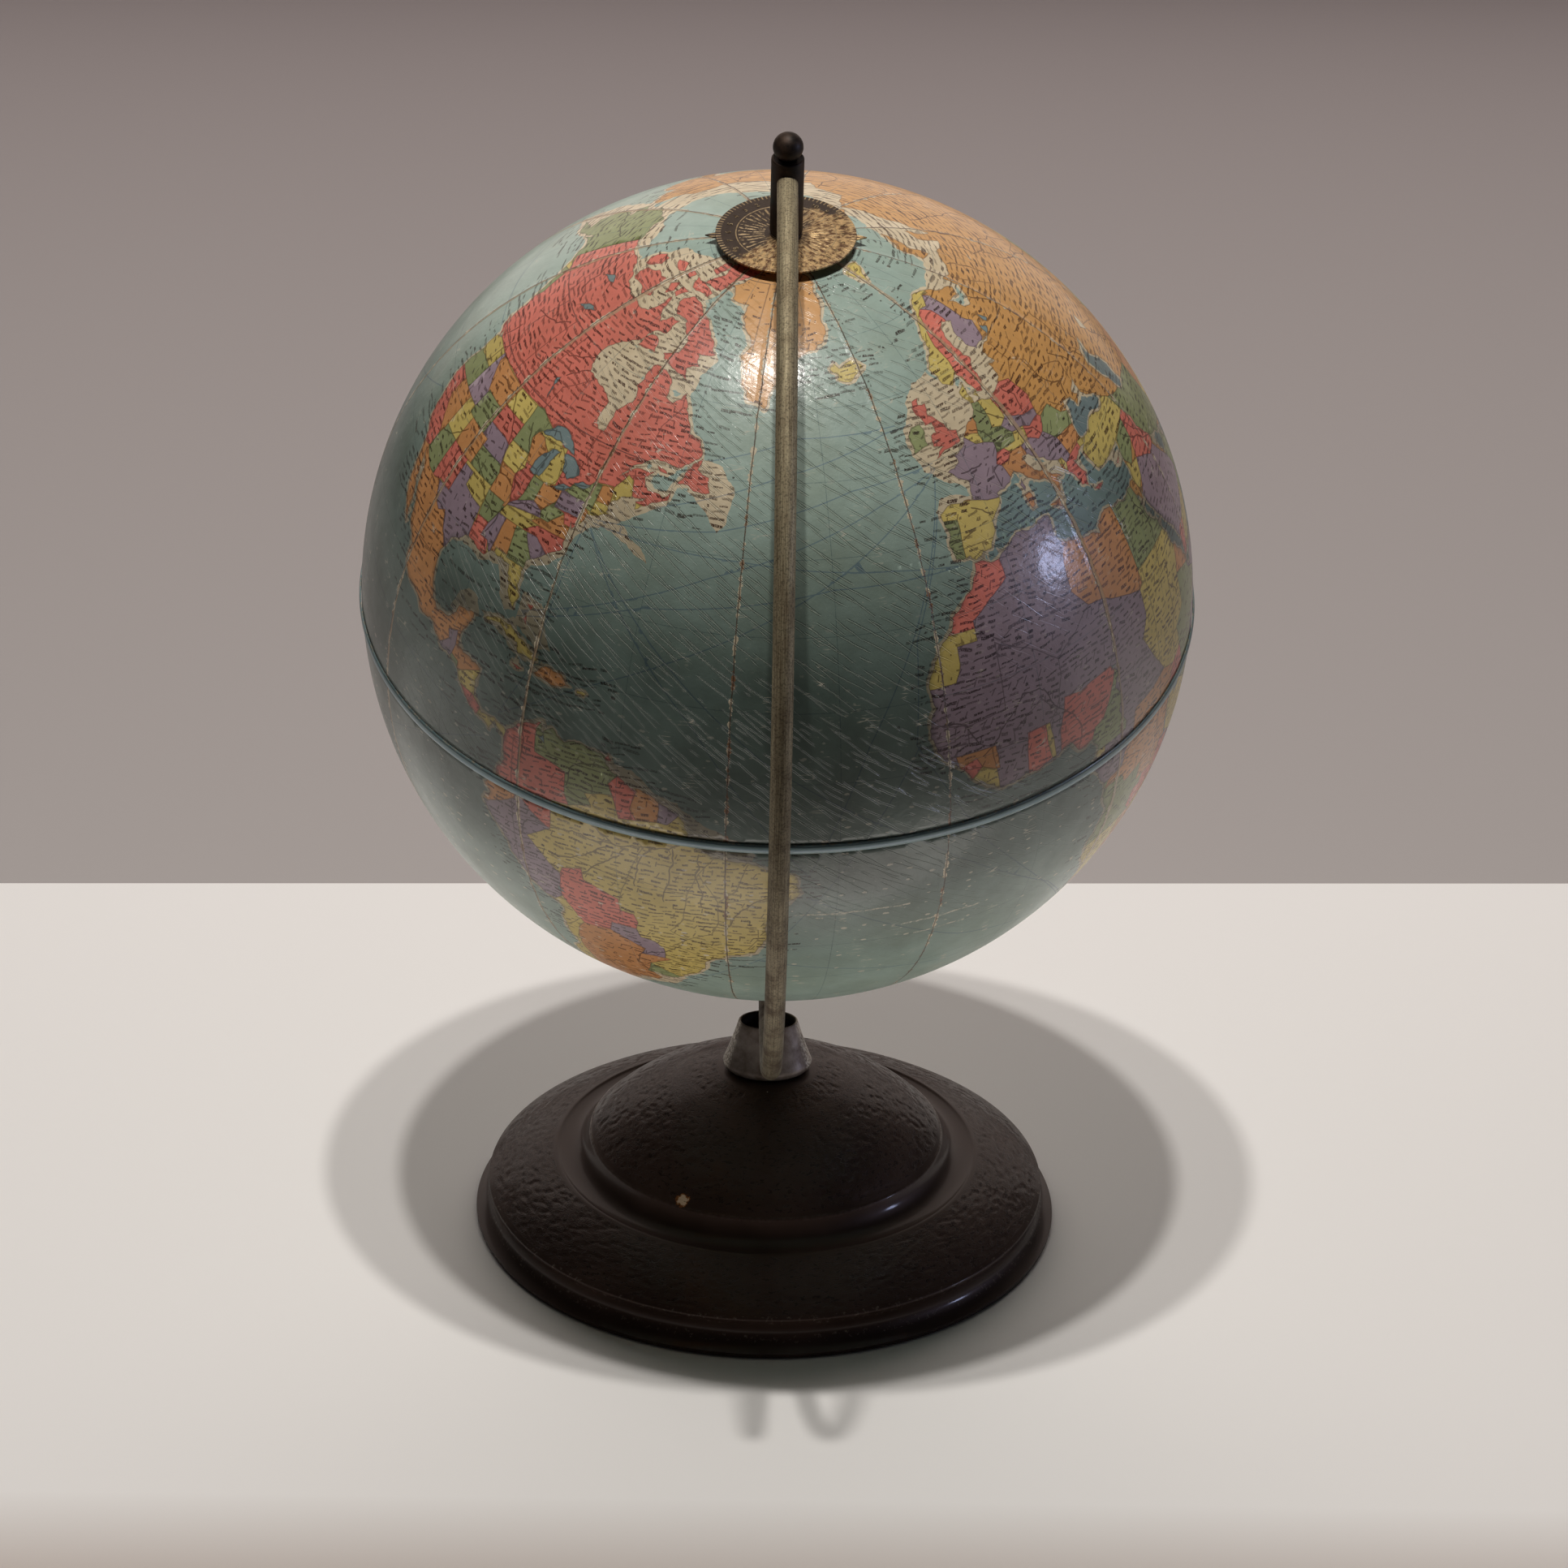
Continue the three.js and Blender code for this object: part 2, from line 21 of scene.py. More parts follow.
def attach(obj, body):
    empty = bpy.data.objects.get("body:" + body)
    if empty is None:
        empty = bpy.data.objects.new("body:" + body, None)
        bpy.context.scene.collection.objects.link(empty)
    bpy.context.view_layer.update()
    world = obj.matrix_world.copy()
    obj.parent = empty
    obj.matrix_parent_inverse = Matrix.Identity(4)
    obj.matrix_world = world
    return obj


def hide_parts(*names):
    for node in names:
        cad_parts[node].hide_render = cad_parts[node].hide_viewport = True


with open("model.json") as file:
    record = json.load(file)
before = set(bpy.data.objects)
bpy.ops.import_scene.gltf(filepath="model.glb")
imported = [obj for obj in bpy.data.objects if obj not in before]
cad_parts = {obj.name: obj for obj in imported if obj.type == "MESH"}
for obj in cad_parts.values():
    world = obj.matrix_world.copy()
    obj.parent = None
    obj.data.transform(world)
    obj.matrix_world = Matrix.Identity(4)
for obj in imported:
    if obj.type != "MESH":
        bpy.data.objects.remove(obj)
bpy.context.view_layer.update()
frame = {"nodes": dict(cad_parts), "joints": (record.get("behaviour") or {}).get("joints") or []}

# %% [markdown]
# ## Two frames of reference
# The stand is turned about the upright axis, the globe, arm and dial about a leaning one. The
# joint in the frame says where that is, so their parts are modelled upright about their own
# pole, and one matrix leans them over into place.

# %% The leaning axis
MM = 0.001
spin = next(joint for joint in frame["joints"] if joint["name"] == "globe_spin")
AXIS_LEAN = math.atan2(-spin["axis"][1], spin["axis"][2])
GLOBE_CENTRE = Vector(spin["pos_m"])
NORTH = Matrix.Translation(GLOBE_CENTRE) @ Matrix.Rotation(AXIS_LEAN, 4, "X")
SOUTH = NORTH @ Matrix.Rotation(math.pi, 4, "X")
UPRIGHT = Matrix.Identity(4)
print("the axis leans", round(math.degrees(AXIS_LEAN), 2), "degrees towards the front")

# %% [markdown]
# ## From a sketch to a finished piece
# Turned parts are one profile swept round an axis, as on a lathe, written in millimetres as
# radius and height. Each finished piece goes through one function, which bakes its place into
# the mesh, marks sharp edges, and ties the piece to the body that carries it.

# %% Turn a profile on the lathe
def turned(profile, steps, closed=True):
    bm = bmesh.new()
    points = [bm.verts.new((radius * MM, 0, height * MM)) for radius, height in profile]
    for first, second in zip(points, points[1:]):
        bm.edges.new((first, second))
    if closed:
        bm.edges.new((points[-1], points[0]))
    bmesh.ops.spin(bm, geom=bm.verts[:] + bm.edges[:], cent=(0, 0, 0), axis=(0, 0, 1),
                   angle=2 * math.pi, steps=steps, use_merge=True)
    bmesh.ops.remove_doubles(bm, verts=bm.verts, dist=1e-7)
    bmesh.ops.recalc_face_normals(bm, faces=bm.faces)
    return bm


# %% Points along curves, in millimetres
def curve_points(controls, steps):
    points = []
    for i in range(steps + 1):
        layer = [Vector(point) for point in controls]
        while len(layer) > 1:
            layer = [a.lerp(b, i / steps) for a, b in zip(layer, layer[1:])]
        points.append(tuple(layer[0]))
    return points


def round_corner(centre, radius, start, end, steps=6):
    angles = [math.radians(start + (end - start) * i / steps) for i in range(steps + 1)]
    return [(centre[0] + radius * math.cos(a), centre[1] + radius * math.sin(a)) for a in angles]


# %% Finish a piece and tie it to its body
def finished(name, bm, body, material, stands_for=(), place=UPRIGHT, sharp=35):
    bm.transform(place)
    for edge in bm.edges:
        edge.smooth = edge.calc_face_angle(0) < math.radians(sharp)
    for face in bm.faces:
        face.smooth = True
    mesh = bpy.data.meshes.new(name)
    bm.to_mesh(mesh)
    bm.free()
    piece = bpy.data.objects.new(name, mesh)
    bpy.context.scene.collection.objects.link(piece)
    mesh.materials.append(material)
    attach(piece, body)
    if stands_for:
        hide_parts(*stands_for)
    print(name, "has", sum(len(face.vertices) - 2 for face in mesh.polygons), "triangles")
    return piece


# %% [markdown]
# ## Colours and nodes
# Colours are written as the hex values of a paint chart, and one function turns them into the
# linear light that the shader works in. One more adds a node, sets it up and links it. Each new
# finish hands back its own `add`, so that it reads as a list of steps.

# %% Paint-chart colours
def paint(chart):
    channels = [int(chart[i:i + 2], 16) / 255 for i in (1, 3, 5)]
    linear = [c / 12.92 if c <= 0.04045 else ((c + 0.055) / 1.055) ** 2.4 for c in channels]
    return (*linear, 1.0)


print("mid grey", [round(c, 3) for c in paint("#808080")])


# %% Add a node with its settings and links
def add_node(tree, kind, sockets=(), mode=None, **settings):
    node = tree.nodes.new("ShaderNode" + kind)
    if mode:
        setattr(node, "operation" if hasattr(node, "operation") else "data_type", mode)
    for name, value in settings.items():
        setattr(node, name, value)
    shown = [socket for socket in node.inputs if socket.enabled]
    listed = sockets if isinstance(sockets, dict) else dict(enumerate(sockets))
    for key, value in listed.items():
        socket = shown[key] if isinstance(key, int) else next(s for s in shown if s.name == key)
        if isinstance(value, bpy.types.Node):
            value = next(s for s in value.outputs if s.enabled)
        if isinstance(value, bpy.types.NodeSocket):
            tree.links.new(value, socket)
        else:
            socket.default_value = value
    return node


# %% An empty finish: one shader, wired to the output
def new_finish(name, **constants):
    material = bpy.data.materials.new(name)
    material.use_nodes = True
    tree = material.node_tree
    tree.nodes.clear()
    add = partial(add_node, tree)
    shader = add("BsdfPrincipled", {key.replace("_", " "): value for key, value in constants.items()})
    add("OutputMaterial", {"Surface": shader})
    return material, add, shader


def drive(shader, **links):
    for key, node in links.items():
        output = next(s for s in node.outputs if s.enabled) if isinstance(node, bpy.types.Node) else node
        shader.id_data.links.new(output, shader.inputs[key.replace("_", " ")])


# %% [markdown]
# Four short groups of nodes come back in many finishes: two tones mixed along a pattern, how far
# a point is along its own step of a repeat, from -0.5 to 0.5, a product of masks, and the gap
# from a line.

# %% Groups of nodes that many finishes share
def two_tones(add, pattern, low, high, dark, light):
    return add("Mix", (add("MapRange", (pattern, low, high)), paint(dark), paint(light)), "RGBA")


def in_step(add, steps):
    return add("Math", (add("Math", (steps,), "FRACT"), 0.5), "SUBTRACT")


def product(add, *terms):
    return reduce(lambda first, second: add("Math", (first, second), "MULTIPLY"), terms)


def gap_from(add, value, line):
    return add("Math", (add("Math", (value, line), "SUBTRACT"),), "ABSOLUTE")


# %% Millimetres about the leaning axis, for patterns on the globe and the arm
def axis_millimetres(add):
    place = add("TexCoord")
    local = add("Mapping", {"Vector": place.outputs["Object"], "Location": GLOBE_CENTRE,
                            "Rotation": (AXIS_LEAN, 0, 0), "Scale": (MM, MM, MM)}, vector_type="TEXTURE")
    east, front, north = add("SeparateXYZ", (local,)).outputs
    forward = add("Math", (front, -1.0), "MULTIPLY")
    angle = add("Math", (east, forward), "ARCTAN2")
    flat = add("CombineXYZ", (east, front))
    reach = add("VectorMath", (flat,), "LENGTH").outputs["Value"]
    return local, angle, reach, north


# %% Millimetres about the upright axis, for patterns on the stand
def stand_millimetres(add):
    place = add("TexCoord")
    return add("Mapping", {"Vector": place.outputs["Object"], "Scale": (MM, MM, MM)}, vector_type="TEXTURE")


# %% [markdown]
# ## The stand's enamel
# The stand is stamped from sheet steel and dipped in a nearly black baked enamel. Where the
# press left it embossed the paint lies in small short wrinkles, and the band and the cove are
# smooth. To the eye that gives a dull sheen broken into tiny dashes, whose dents are painted dark
# as shade, with brown thin places, rubbed rim edges, a painted highlight along the back of the
# dome's shoulder, a chip down to the primer and a few specks of paint.

# %% Baked enamel, embossed and rubbed, with painted highlight and shade
RIM_RADIUS, SHOULDER_RADIUS = 106.5, 67.7
enamel, add, shader = new_finish("baked_wrinkle_enamel", IOR=1.48, Specular_IOR_Level=0.27,
                                 Specular_Tint=paint("#ffd9cc"), Coat_Weight=0.2, Coat_Roughness=0.13)
stand_mm = stand_millimetres(add)
stand_x, stand_y, _ = add("SeparateXYZ", (stand_mm,)).outputs
stand_flat = add("CombineXYZ", (stand_x, stand_y))
stand_reach = add("VectorMath", (stand_flat,), "LENGTH").outputs["Value"]
cloudy = add("TexNoise", (stand_mm, 1 / 28, 4.0))
tone = two_tones(add, cloudy, 0.35, 0.7, "#281d18", "#3a2c26")
# rubbed places on the rim, and a painted highlight along the dome's shoulder, strongest at the back
rub_noise = add("TexNoise", (stand_mm, 1 / 1.7, 5.0, 0.65))
rim_gap = add("Math", (stand_reach, RIM_RADIUS, 0.9), "COMPARE")
shoulder_gap = add("Math", (stand_reach, SHOULDER_RADIUS, 0.5), "COMPARE")
rim_spots = add("MapRange", (rub_noise, 0.56, 0.72, 0.0, 0.4))
shoulder_highlight_spots = add("MapRange", (rub_noise, 0.42, 0.58))
# painted highlight: the pale shoulder line fades out towards the front and is strongest towards the back
back_weighted_highlight = add("MapRange", (stand_y, -20.0, 40.0, 0.04, 0.8))
shoulder_painted_highlight = product(add, shoulder_gap, shoulder_highlight_spots, back_weighted_highlight)
rim_wear_and_shoulder_highlight = add("Math", (product(add, rim_gap, rim_spots), shoulder_painted_highlight), "MAXIMUM")
wear_and_highlight_tone = add("Mix", (rim_wear_and_shoulder_highlight, tone, paint("#9a8f85")), "RGBA")
# one chip through the paint, 4 mm across, with orange primer round bare putty
chip_wobble = add("VectorMath", (rub_noise.outputs["Color"], (5.0, 3.0, 3.0), stand_mm), "MULTIPLY_ADD")
chip_gap = add("VectorMath", (chip_wobble, (-29.1, -56.1, 37.5)), "DISTANCE").outputs["Value"]
primer_mask = add("MapRange", (chip_gap, 2.85, 2.45))
primer = add("Mix", (primer_mask, wear_and_highlight_tone, paint("#8a5428")), "RGBA")
putty_mask = add("MapRange", (chip_gap, 2.25, 1.95))
putty = add("Mix", (putty_mask, primer, paint("#d8bfa0")), "RGBA")
# stray paint specks about half a millimetre across, one in a hand's breadth
speck_cells = add("TexVoronoi", (stand_mm, 1 / 9.0))
speck_pick, *_ = add("SeparateXYZ", (speck_cells.outputs["Color"],)).outputs
speck_chosen = add("Math", (speck_pick, 0.93), "GREATER_THAN")
speck_dot = add("MapRange", (speck_cells.outputs["Distance"], 0.042, 0.026))
speck = product(add, speck_dot, speck_chosen)
specked = add("Mix", (speck, putty, paint("#cfc6b8")), "RGBA")
# wrinkles 2.4 mm long across the radius and 1.1 mm wide, and grit of a third of a millimetre
wrinkle_step = add("Math", (stand_reach, 2.0), "MULTIPLY")
wrinkle_place = add("CombineXYZ", (stand_x, stand_y, wrinkle_step))
wrinkles = add("TexNoise", (wrinkle_place, 1 / 2.4, 3.0, 0.6))
# the press embossed the sloping ring, 82 to 105 mm out, and the dome from 19 to 66 mm
annulus_zone = add("Math", (stand_reach, 93.5, 11.5), "COMPARE")
dome_zone = add("Math", (stand_reach, 42.5, 23.5), "COMPARE")
embossed = add("Math", (annulus_zone, dome_zone), "MAXIMUM")
# the deepest wrinkles are pressed down as dashes, and their dents are painted dark as shade
dashes = add("Math", (add("MapRange", (wrinkles, 0.55, 0.61)), embossed), "MULTIPLY")
dashes_shaded = add("Mix", (add("Math", (dashes, 0.65), "MULTIPLY"), specked, paint("#0f0a08")), "RGBA")
soft_wrinkles = product(add, wrinkles, embossed)
wrinkle_height = add("Math", (soft_wrinkles, add("Math", (dashes, 0.5), "MULTIPLY")), "SUBTRACT")
grit = add("TexNoise", (stand_mm, 1 / 0.35, 2.0))
grit_bump = add("Bump", {"Height": grit, "Strength": 0.12, "Distance": 0.00006})
wrinkle_bump = add("Bump", {"Height": wrinkle_height, "Strength": 0.8, "Distance": 0.0005,
                            "Normal": grit_bump})
sheen_noise = add("MapRange", (cloudy, 0.3, 0.7, 0.4, 0.56))
rough = add("Mix", (rim_wear_and_shoulder_highlight, sheen_noise, 0.6), "FLOAT")
drive(shader, Base_Color=dashes_shaded, Roughness=rough, Normal=wrinkle_bump)
print("enamel nodes:", len(shader.id_data.nodes))

# %% [markdown]
# ## The pressed stand
# On the real stand a press drew one sheet into a foot, a hollow side band, a sloping ring, a
# cove and a dome. The section is the same all round, so it is turned on the lathe, outside and
# inside together, so that the wall closes. The embossing is pushed into the turned mesh
# afterwards, point by point, because it has no symmetry that a lathe could give.

# %% The stand's section, outside and inside
foot = [(104.0, 0.3), (110.6, 0.3), (111.24, 0.56), (111.5, 1.2), (111.5, 2.2)]
band = curve_points([(111.5, 2.2), (104.9, 4.4), (103.7, 9.5), (106.7, 13.2)], 16)[1:]
rim = curve_points([(106.7, 13.2), (107.0, 14.2), (106.1, 14.6)], 5)[1:]
annulus = curve_points([(106.1, 14.6), (94.7, 22.75), (80.7, 26.6)], 38)[1:]
lip = curve_points([(80.7, 26.6), (80.1, 26.68), (79.7, 26.3)], 4)[1:]
cove = curve_points([(79.7, 26.3), (70.6, 24.4), (68.1, 33.5)], 18)[1:]
shoulder = curve_points([(68.1, 33.5), (67.9, 34.3), (67.3, 34.5)], 4)[1:]
dome = curve_points([(67.3, 34.5), (50.39, 52.8), (17.5, 61.8)], 64)[1:]
crown = [(10.0, 61.8), (2.8, 61.8)]
outside = foot + band + rim + annulus + lip + cove + shoulder + dome + crown
inside = [(2.8, 60.8), (17.3, 60.8), (33.0, 57.2), (48.0, 48.9), (58.0, 40.6), (66.2, 33.6), (67.3, 30.4),
          (69.4, 26.6), (73.0, 25.0), (78.6, 25.1), (90.0, 22.4), (105.2, 13.9), (103.9, 9.6), (105.2, 5.0),
          (110.4, 2.1), (110.3, 1.3), (104.0, 1.3)]
print("section points:", len(outside) + len(inside))

# %% Turn the stand and emboss it
bm = turned(outside + inside, 500)
bm.normal_update()
skin_radii, skin_heights = zip(*sorted(outside[5:]))
EMBOSS_DEPTH = 0.26
for vert in bm.verts:
    radius = math.hypot(vert.co.x, vert.co.y) / MM
    on_annulus = min(1, max(0, (radius - 82) / 1.5)) * min(1, max(0, (105 - radius) / 1.5))
    on_dome = min(1, max(0, (radius - 19) / 2)) * min(1, max(0, (66.5 - radius) / 1.5))
    depth = max(on_annulus, on_dome)
    if depth and abs(vert.co.z / MM - np.interp(radius, skin_radii, skin_heights)) < 0.3:
        x, y = vert.co.x / MM, vert.co.y / MM
        dent = noise.noise(Vector((x / 2.8, y / 2.8, radius / 1.5)))
        vert.co -= vert.normal * (min(1, max(0, dent - 0.1) / 0.22) * depth * EMBOSS_DEPTH * MM)
finished("pressed_stand", bm, "stand", enamel, ["base_shell"])

# %% [markdown]
# ## The ferrule
# A cast zinc cone stands between dome and arm. It was turned round and then squeezed, so it is
# narrower from front to back, most of all at its open mouth. The zinc has gone mottled grey
# and brown, and its flanks are scraped to bright metal. Its colour is painted lighter towards
# the right side, as painted light.

# %% Mottled old zinc
FERRULE_FOOT, FERRULE_RISE = 62.1, 20.3
zinc, add, shader = new_finish("mottled_zinc", Metallic=0.55, IOR=1.45)
stand_mm = stand_millimetres(add)
zinc_x, _, zinc_z = add("SeparateXYZ", (stand_mm,)).outputs
patches = add("TexNoise", (stand_mm, 1 / 8.0, 5.0, 0.55))
zinc_tone = two_tones(add, patches, 0.3, 0.68, "#42362d", "#786f69")
# the flanks stand furthest out to the left and right, and are scraped there
side = add("Math", (zinc_x,), "ABSOLUTE")
taper = add("MapRange", (zinc_z, FERRULE_FOOT, FERRULE_FOOT + FERRULE_RISE, 16.4, 11.0))
out_there = add("Math", (side, taper), "SUBTRACT")
scrape_zone = add("MapRange", (out_there, -1.2, 0.1))
scratches = add("TexNoise", (add("Mapping", {"Vector": stand_mm, "Scale": (1.6, 1.6, 0.7)}), 1.0, 4.0, 0.7))
scrape_spots = add("MapRange", (scratches, 0.42, 0.58))
scraped = product(add, scrape_zone, scrape_spots)
# painted light: the zinc is made up to 1.7 times lighter towards its right side, as if lit from there
lit_side = add("MapRange", (zinc_x, -10.0, 12.0, 0.95, 1.7))
zinc_side_lit = add("VectorMath", (zinc_tone, lit_side), "SCALE")
zinc_colour = add("Mix", (scraped, zinc_side_lit, paint("#c3bcb0")), "RGBA")
zinc_pits = add("TexNoise", (stand_mm, 1 / 0.9, 4.0))
zinc_bump = add("Bump", {"Height": zinc_pits, "Strength": 0.35, "Distance": 0.0003})
zinc_rough = add("MapRange", (patches, 0.3, 0.7, 0.62, 0.4))
drive(shader, Base_Color=zinc_colour, Roughness=zinc_rough, Normal=zinc_bump)

# %% Turn and squeeze the ferrule
flank = curve_points([(17.0, 3.2), (13.8, 11.2), (11.4, 19.8)], 18)
mouth = round_corner((10.85, 19.75), 0.55, 5, 175, 6)
inner_flank = curve_points([(10.3, 19.6), (12.7, 11.2), (15.8, 4.0)], 8)
section = [(10.6, 0.0), *round_corner((13.8, 3.2), 3.2, -90, 0, 8), *flank[1:], *mouth, *inner_flank,
           *round_corner((13.6, 3.3), 2.2, 0, -90, 4), (10.6, 1.1)]
bm = turned(section, 128)
for vert in bm.verts:
    vert.co.y *= 0.82 + (0.70 - 0.82) * vert.co.z / (FERRULE_RISE * MM)
finished("oval_ferrule", bm, "stand", zinc, ["ferrule"],
         Matrix.Translation((0, 0, FERRULE_FOOT * MM)))

# %% [markdown]
# ## The arm
# One round bar, bent to a half circle that clears the globe by a thumb's width. Drawn bronze
# keeps the die's fine lines, and handling has left an olive grey skin with brown patches. The
# lines follow the bend, so the finish works in the arm's own terms: how far a point is along
# the bend, out from it, and across it.

# %% Drawn bronze with its skin
ARM_RADIUS, ROD_RADIUS = 177.6, 3.7
bronze, add, shader = new_finish("drawn_bronze", Metallic=0.45)
local, *_ = axis_millimetres(add)
across, front, up = add("SeparateXYZ", (local,)).outputs
in_plane = add("VectorMath", (add("CombineXYZ", (0, front, up)),), "LENGTH").outputs["Value"]
outward = add("Math", (in_plane, ARM_RADIUS), "SUBTRACT")
bend = add("Math", (up, front), "ARCTAN2")
along = add("Math", (bend, ARM_RADIUS), "MULTIPLY")
# die lines about a third of a millimetre wide and 18 mm long
bar_place = add("CombineXYZ", (across, outward, along))
streak_place = add("VectorMath", (bar_place, (2.6, 2.6, 1 / 18)), "MULTIPLY")
streaks = add("TexNoise", (streak_place, 1.0, 4.0, 0.65))
skin = add("TexNoise", (local, 1 / 11, 5.0, 0.62))
streak_tone = two_tones(add, streaks, 0.34, 0.66, "#6c6049", "#a3987c")
# brown patches, weighted to cover more of the bar towards its lower end, so it is darker towards the bottom
tarnish_mask = add("MapRange", (skin, 0.47, 0.66))
darker_towards_bottom = add("MapRange", (up, 60.0, -120.0, 0.3, 1.0))
lower_brown_patches = product(add, tarnish_mask, darker_towards_bottom)
bronze_colour = add("Mix", (lower_brown_patches, streak_tone, paint("#4d3824")), "RGBA")
pits = add("TexNoise", (local, 1 / 0.7, 3.0))
# painted shade and light: the bronze is scaled from 0.44 at the lower end to 1.5 at the top
painted_height_shade = add("MapRange", (up, -130.0, 170.0, 0.44, 1.5))
pit_and_height_shade = add("Math", (add("MapRange", (pits, 0.36, 0.52, 0.55, 1.0)), painted_height_shade), "MULTIPLY")
speckled_and_shaded = add("VectorMath", (bronze_colour, pit_and_height_shade), "SCALE")
pit_bump = add("Bump", {"Height": pits, "Strength": 0.25, "Distance": 0.0001})
streak_bump = add("Bump", {"Height": streaks, "Strength": 0.5, "Distance": 0.0002, "Normal": pit_bump})
bronze_rough = add("MapRange", (skin, 0.35, 0.65, 0.58, 0.72))
drive(shader, Base_Color=speckled_and_shaded, Roughness=bronze_rough, Normal=streak_bump)

# %% Bend the bar round the globe
HUB_RADIUS = 5.8
start = math.asin((HUB_RADIUS - 1.5) / ARM_RADIUS)
bm = bmesh.new()
bmesh.ops.create_circle(bm, segments=40, radius=ROD_RADIUS * MM, cap_ends=False,
                        matrix=Matrix.Rotation(start, 4, "X") @ Matrix.Translation((0, 0, ARM_RADIUS * MM))
                        @ Matrix.Rotation(math.pi / 2, 4, "X"))
bmesh.ops.spin(bm, geom=bm.verts[:] + bm.edges[:], cent=(0, 0, 0), axis=(1, 0, 0),
               angle=math.pi - 2 * start, steps=220, use_merge=False)
bmesh.ops.holes_fill(bm, edges=[e for e in bm.edges if e.is_boundary], sides=0)
bmesh.ops.recalc_face_normals(bm, faces=bm.faces)
# both ends are filed hollow, to sit against the round hubs
for vert in bm.verts:
    nearest = -math.sqrt(max(0, (HUB_RADIUS + 0.06) ** 2 - (vert.co.x / MM) ** 2)) * MM
    if vert.co.y > nearest:
        vert.co.y = nearest
print("arm reaches y =", round(min(v.co.y for v in bm.verts) / MM, 2), "mm before leaning")
finished("bent_arm", bm, "stand", bronze, ["meridian_arm"], NORTH, sharp=50)

# %% [markdown]
# ## Hubs and pivot pins
# Each end of the arm is brazed to a short steel tube, and a steel pin with a ball head runs
# through the tube into the globe. Both were blackened in hot oil, which leaves a deep smoky
# brown with a soft sheen.

# %% Oil-blackened steel
blackened, add, shader = new_finish("oil_blackened_steel", Metallic=0.45, IOR=1.5)
local, *_ = axis_millimetres(add)
smoke = add("TexNoise", (local, 1 / 4.5, 5.0, 0.6))
black_tone = two_tones(add, smoke, 0.38, 0.72, "#1f1611", "#4f3c2f")
turning = add("TexNoise", (add("Mapping", {"Vector": local, "Scale": (0.3, 0.3, 3.0)}), 1.0, 3.0))
turned_bump = add("Bump", {"Height": turning, "Strength": 0.3, "Distance": 0.00015})
black_rough = add("MapRange", (smoke, 0.3, 0.7, 0.48, 0.62))
drive(shader, Base_Color=black_tone, Roughness=black_rough, Normal=turned_bump)

# %% Turn the hubs and the ball-headed pins
HUB_TOP, BALL_CENTRE, BALL_RADIUS = 185.6, 189.9, 5.35
for pole, place, bottom in (("north", NORTH, 155.5), ("south", SOUTH, 153.8)):
    tube = [(3.3, bottom), (5.1, bottom), *round_corner((5.1, bottom + 0.7), 0.7, -90, 0, 5),
            *round_corner((5.2, HUB_TOP - 0.6), 0.6, 0, 90, 5), (4.6, HUB_TOP - 0.25), (3.3, HUB_TOP - 0.3)]
    finished(f"{pole}_tube", turned(tube, 64), "stand", blackened, [f"{pole}_hub"], place)
    ball = round_corner((0, BALL_CENTRE), BALL_RADIUS, -48.4, 90, 24)
    ball[-1] = (0, BALL_CENTRE + BALL_RADIUS)
    pin = [(0, 141.0), (2.7, 141.0), (3.0, 141.3), (3.0, 185.9), *ball]
    finished(f"{pole}_ball_pin", turned(pin, 64, closed=False), "stand", blackened,
             [f"{pole}_pivot_pin"], place)

# %% [markdown]
# ## The hour dial
# A thin brass disc, etched and filled with dark lacquer, with a fine scale at its rim, two runs
# of twelve hours inside it, a circle, and rays towards the pin. The lacquer survives on one
# side and is worn to bright mottled brass on the other. The finish cuts scale and rays, from
# the angle and the distance to the pin. The figures are real thin metal, set on the disc.

# %% Etched brass with worn lacquer
etched, add, shader = new_finish("etched_brass", Metallic=0.6)
local, angle, reach, _ = axis_millimetres(add)
ray_place = add("VectorMath", (add("CombineXYZ", (angle, reach)), (13.0, 0.42, 0)), "MULTIPLY")
ground = add("TexNoise", (ray_place, 0.85, 4.0, 0.66), noise_dimensions="2D")
ground_tone = two_tones(add, ground, 0.40, 0.60, "#6d4f38", "#e9c48d")
lacquer_edge = add("TexNoise", (local, 1 / 9.0, 4.0, 0.6))
east, front, _ = add("SeparateXYZ", (local,)).outputs
slope = add("Math", (east, front), "SUBTRACT")
slope_part = add("MapRange", (slope, 22.0, -22.0, -0.34, 0.34))
lacquer_sum = add("Math", (lacquer_edge, slope_part), "ADD")
lacquer = add("MapRange", (lacquer_sum, 0.44, 0.58))
dial_base = add("Mix", (lacquer, ground_tone, paint("#50433a")), "RGBA")
# the rim scale: a line every 3.75 degrees
SCALE_RADIUS, CIRCLE_RADIUS = 22.9, 17.6
turn = add("Math", (angle, 96 / (2 * math.pi)), "MULTIPLY")
turn_part = in_step(add, turn)
turn_gap = add("Math", (turn_part,), "ABSOLUTE")
scale_line = add("MapRange", (turn_gap, 0.20, 0.12))
scale_zone = add("Math", (reach, SCALE_RADIUS), "GREATER_THAN")
scale_mark = product(add, scale_line, scale_zone)
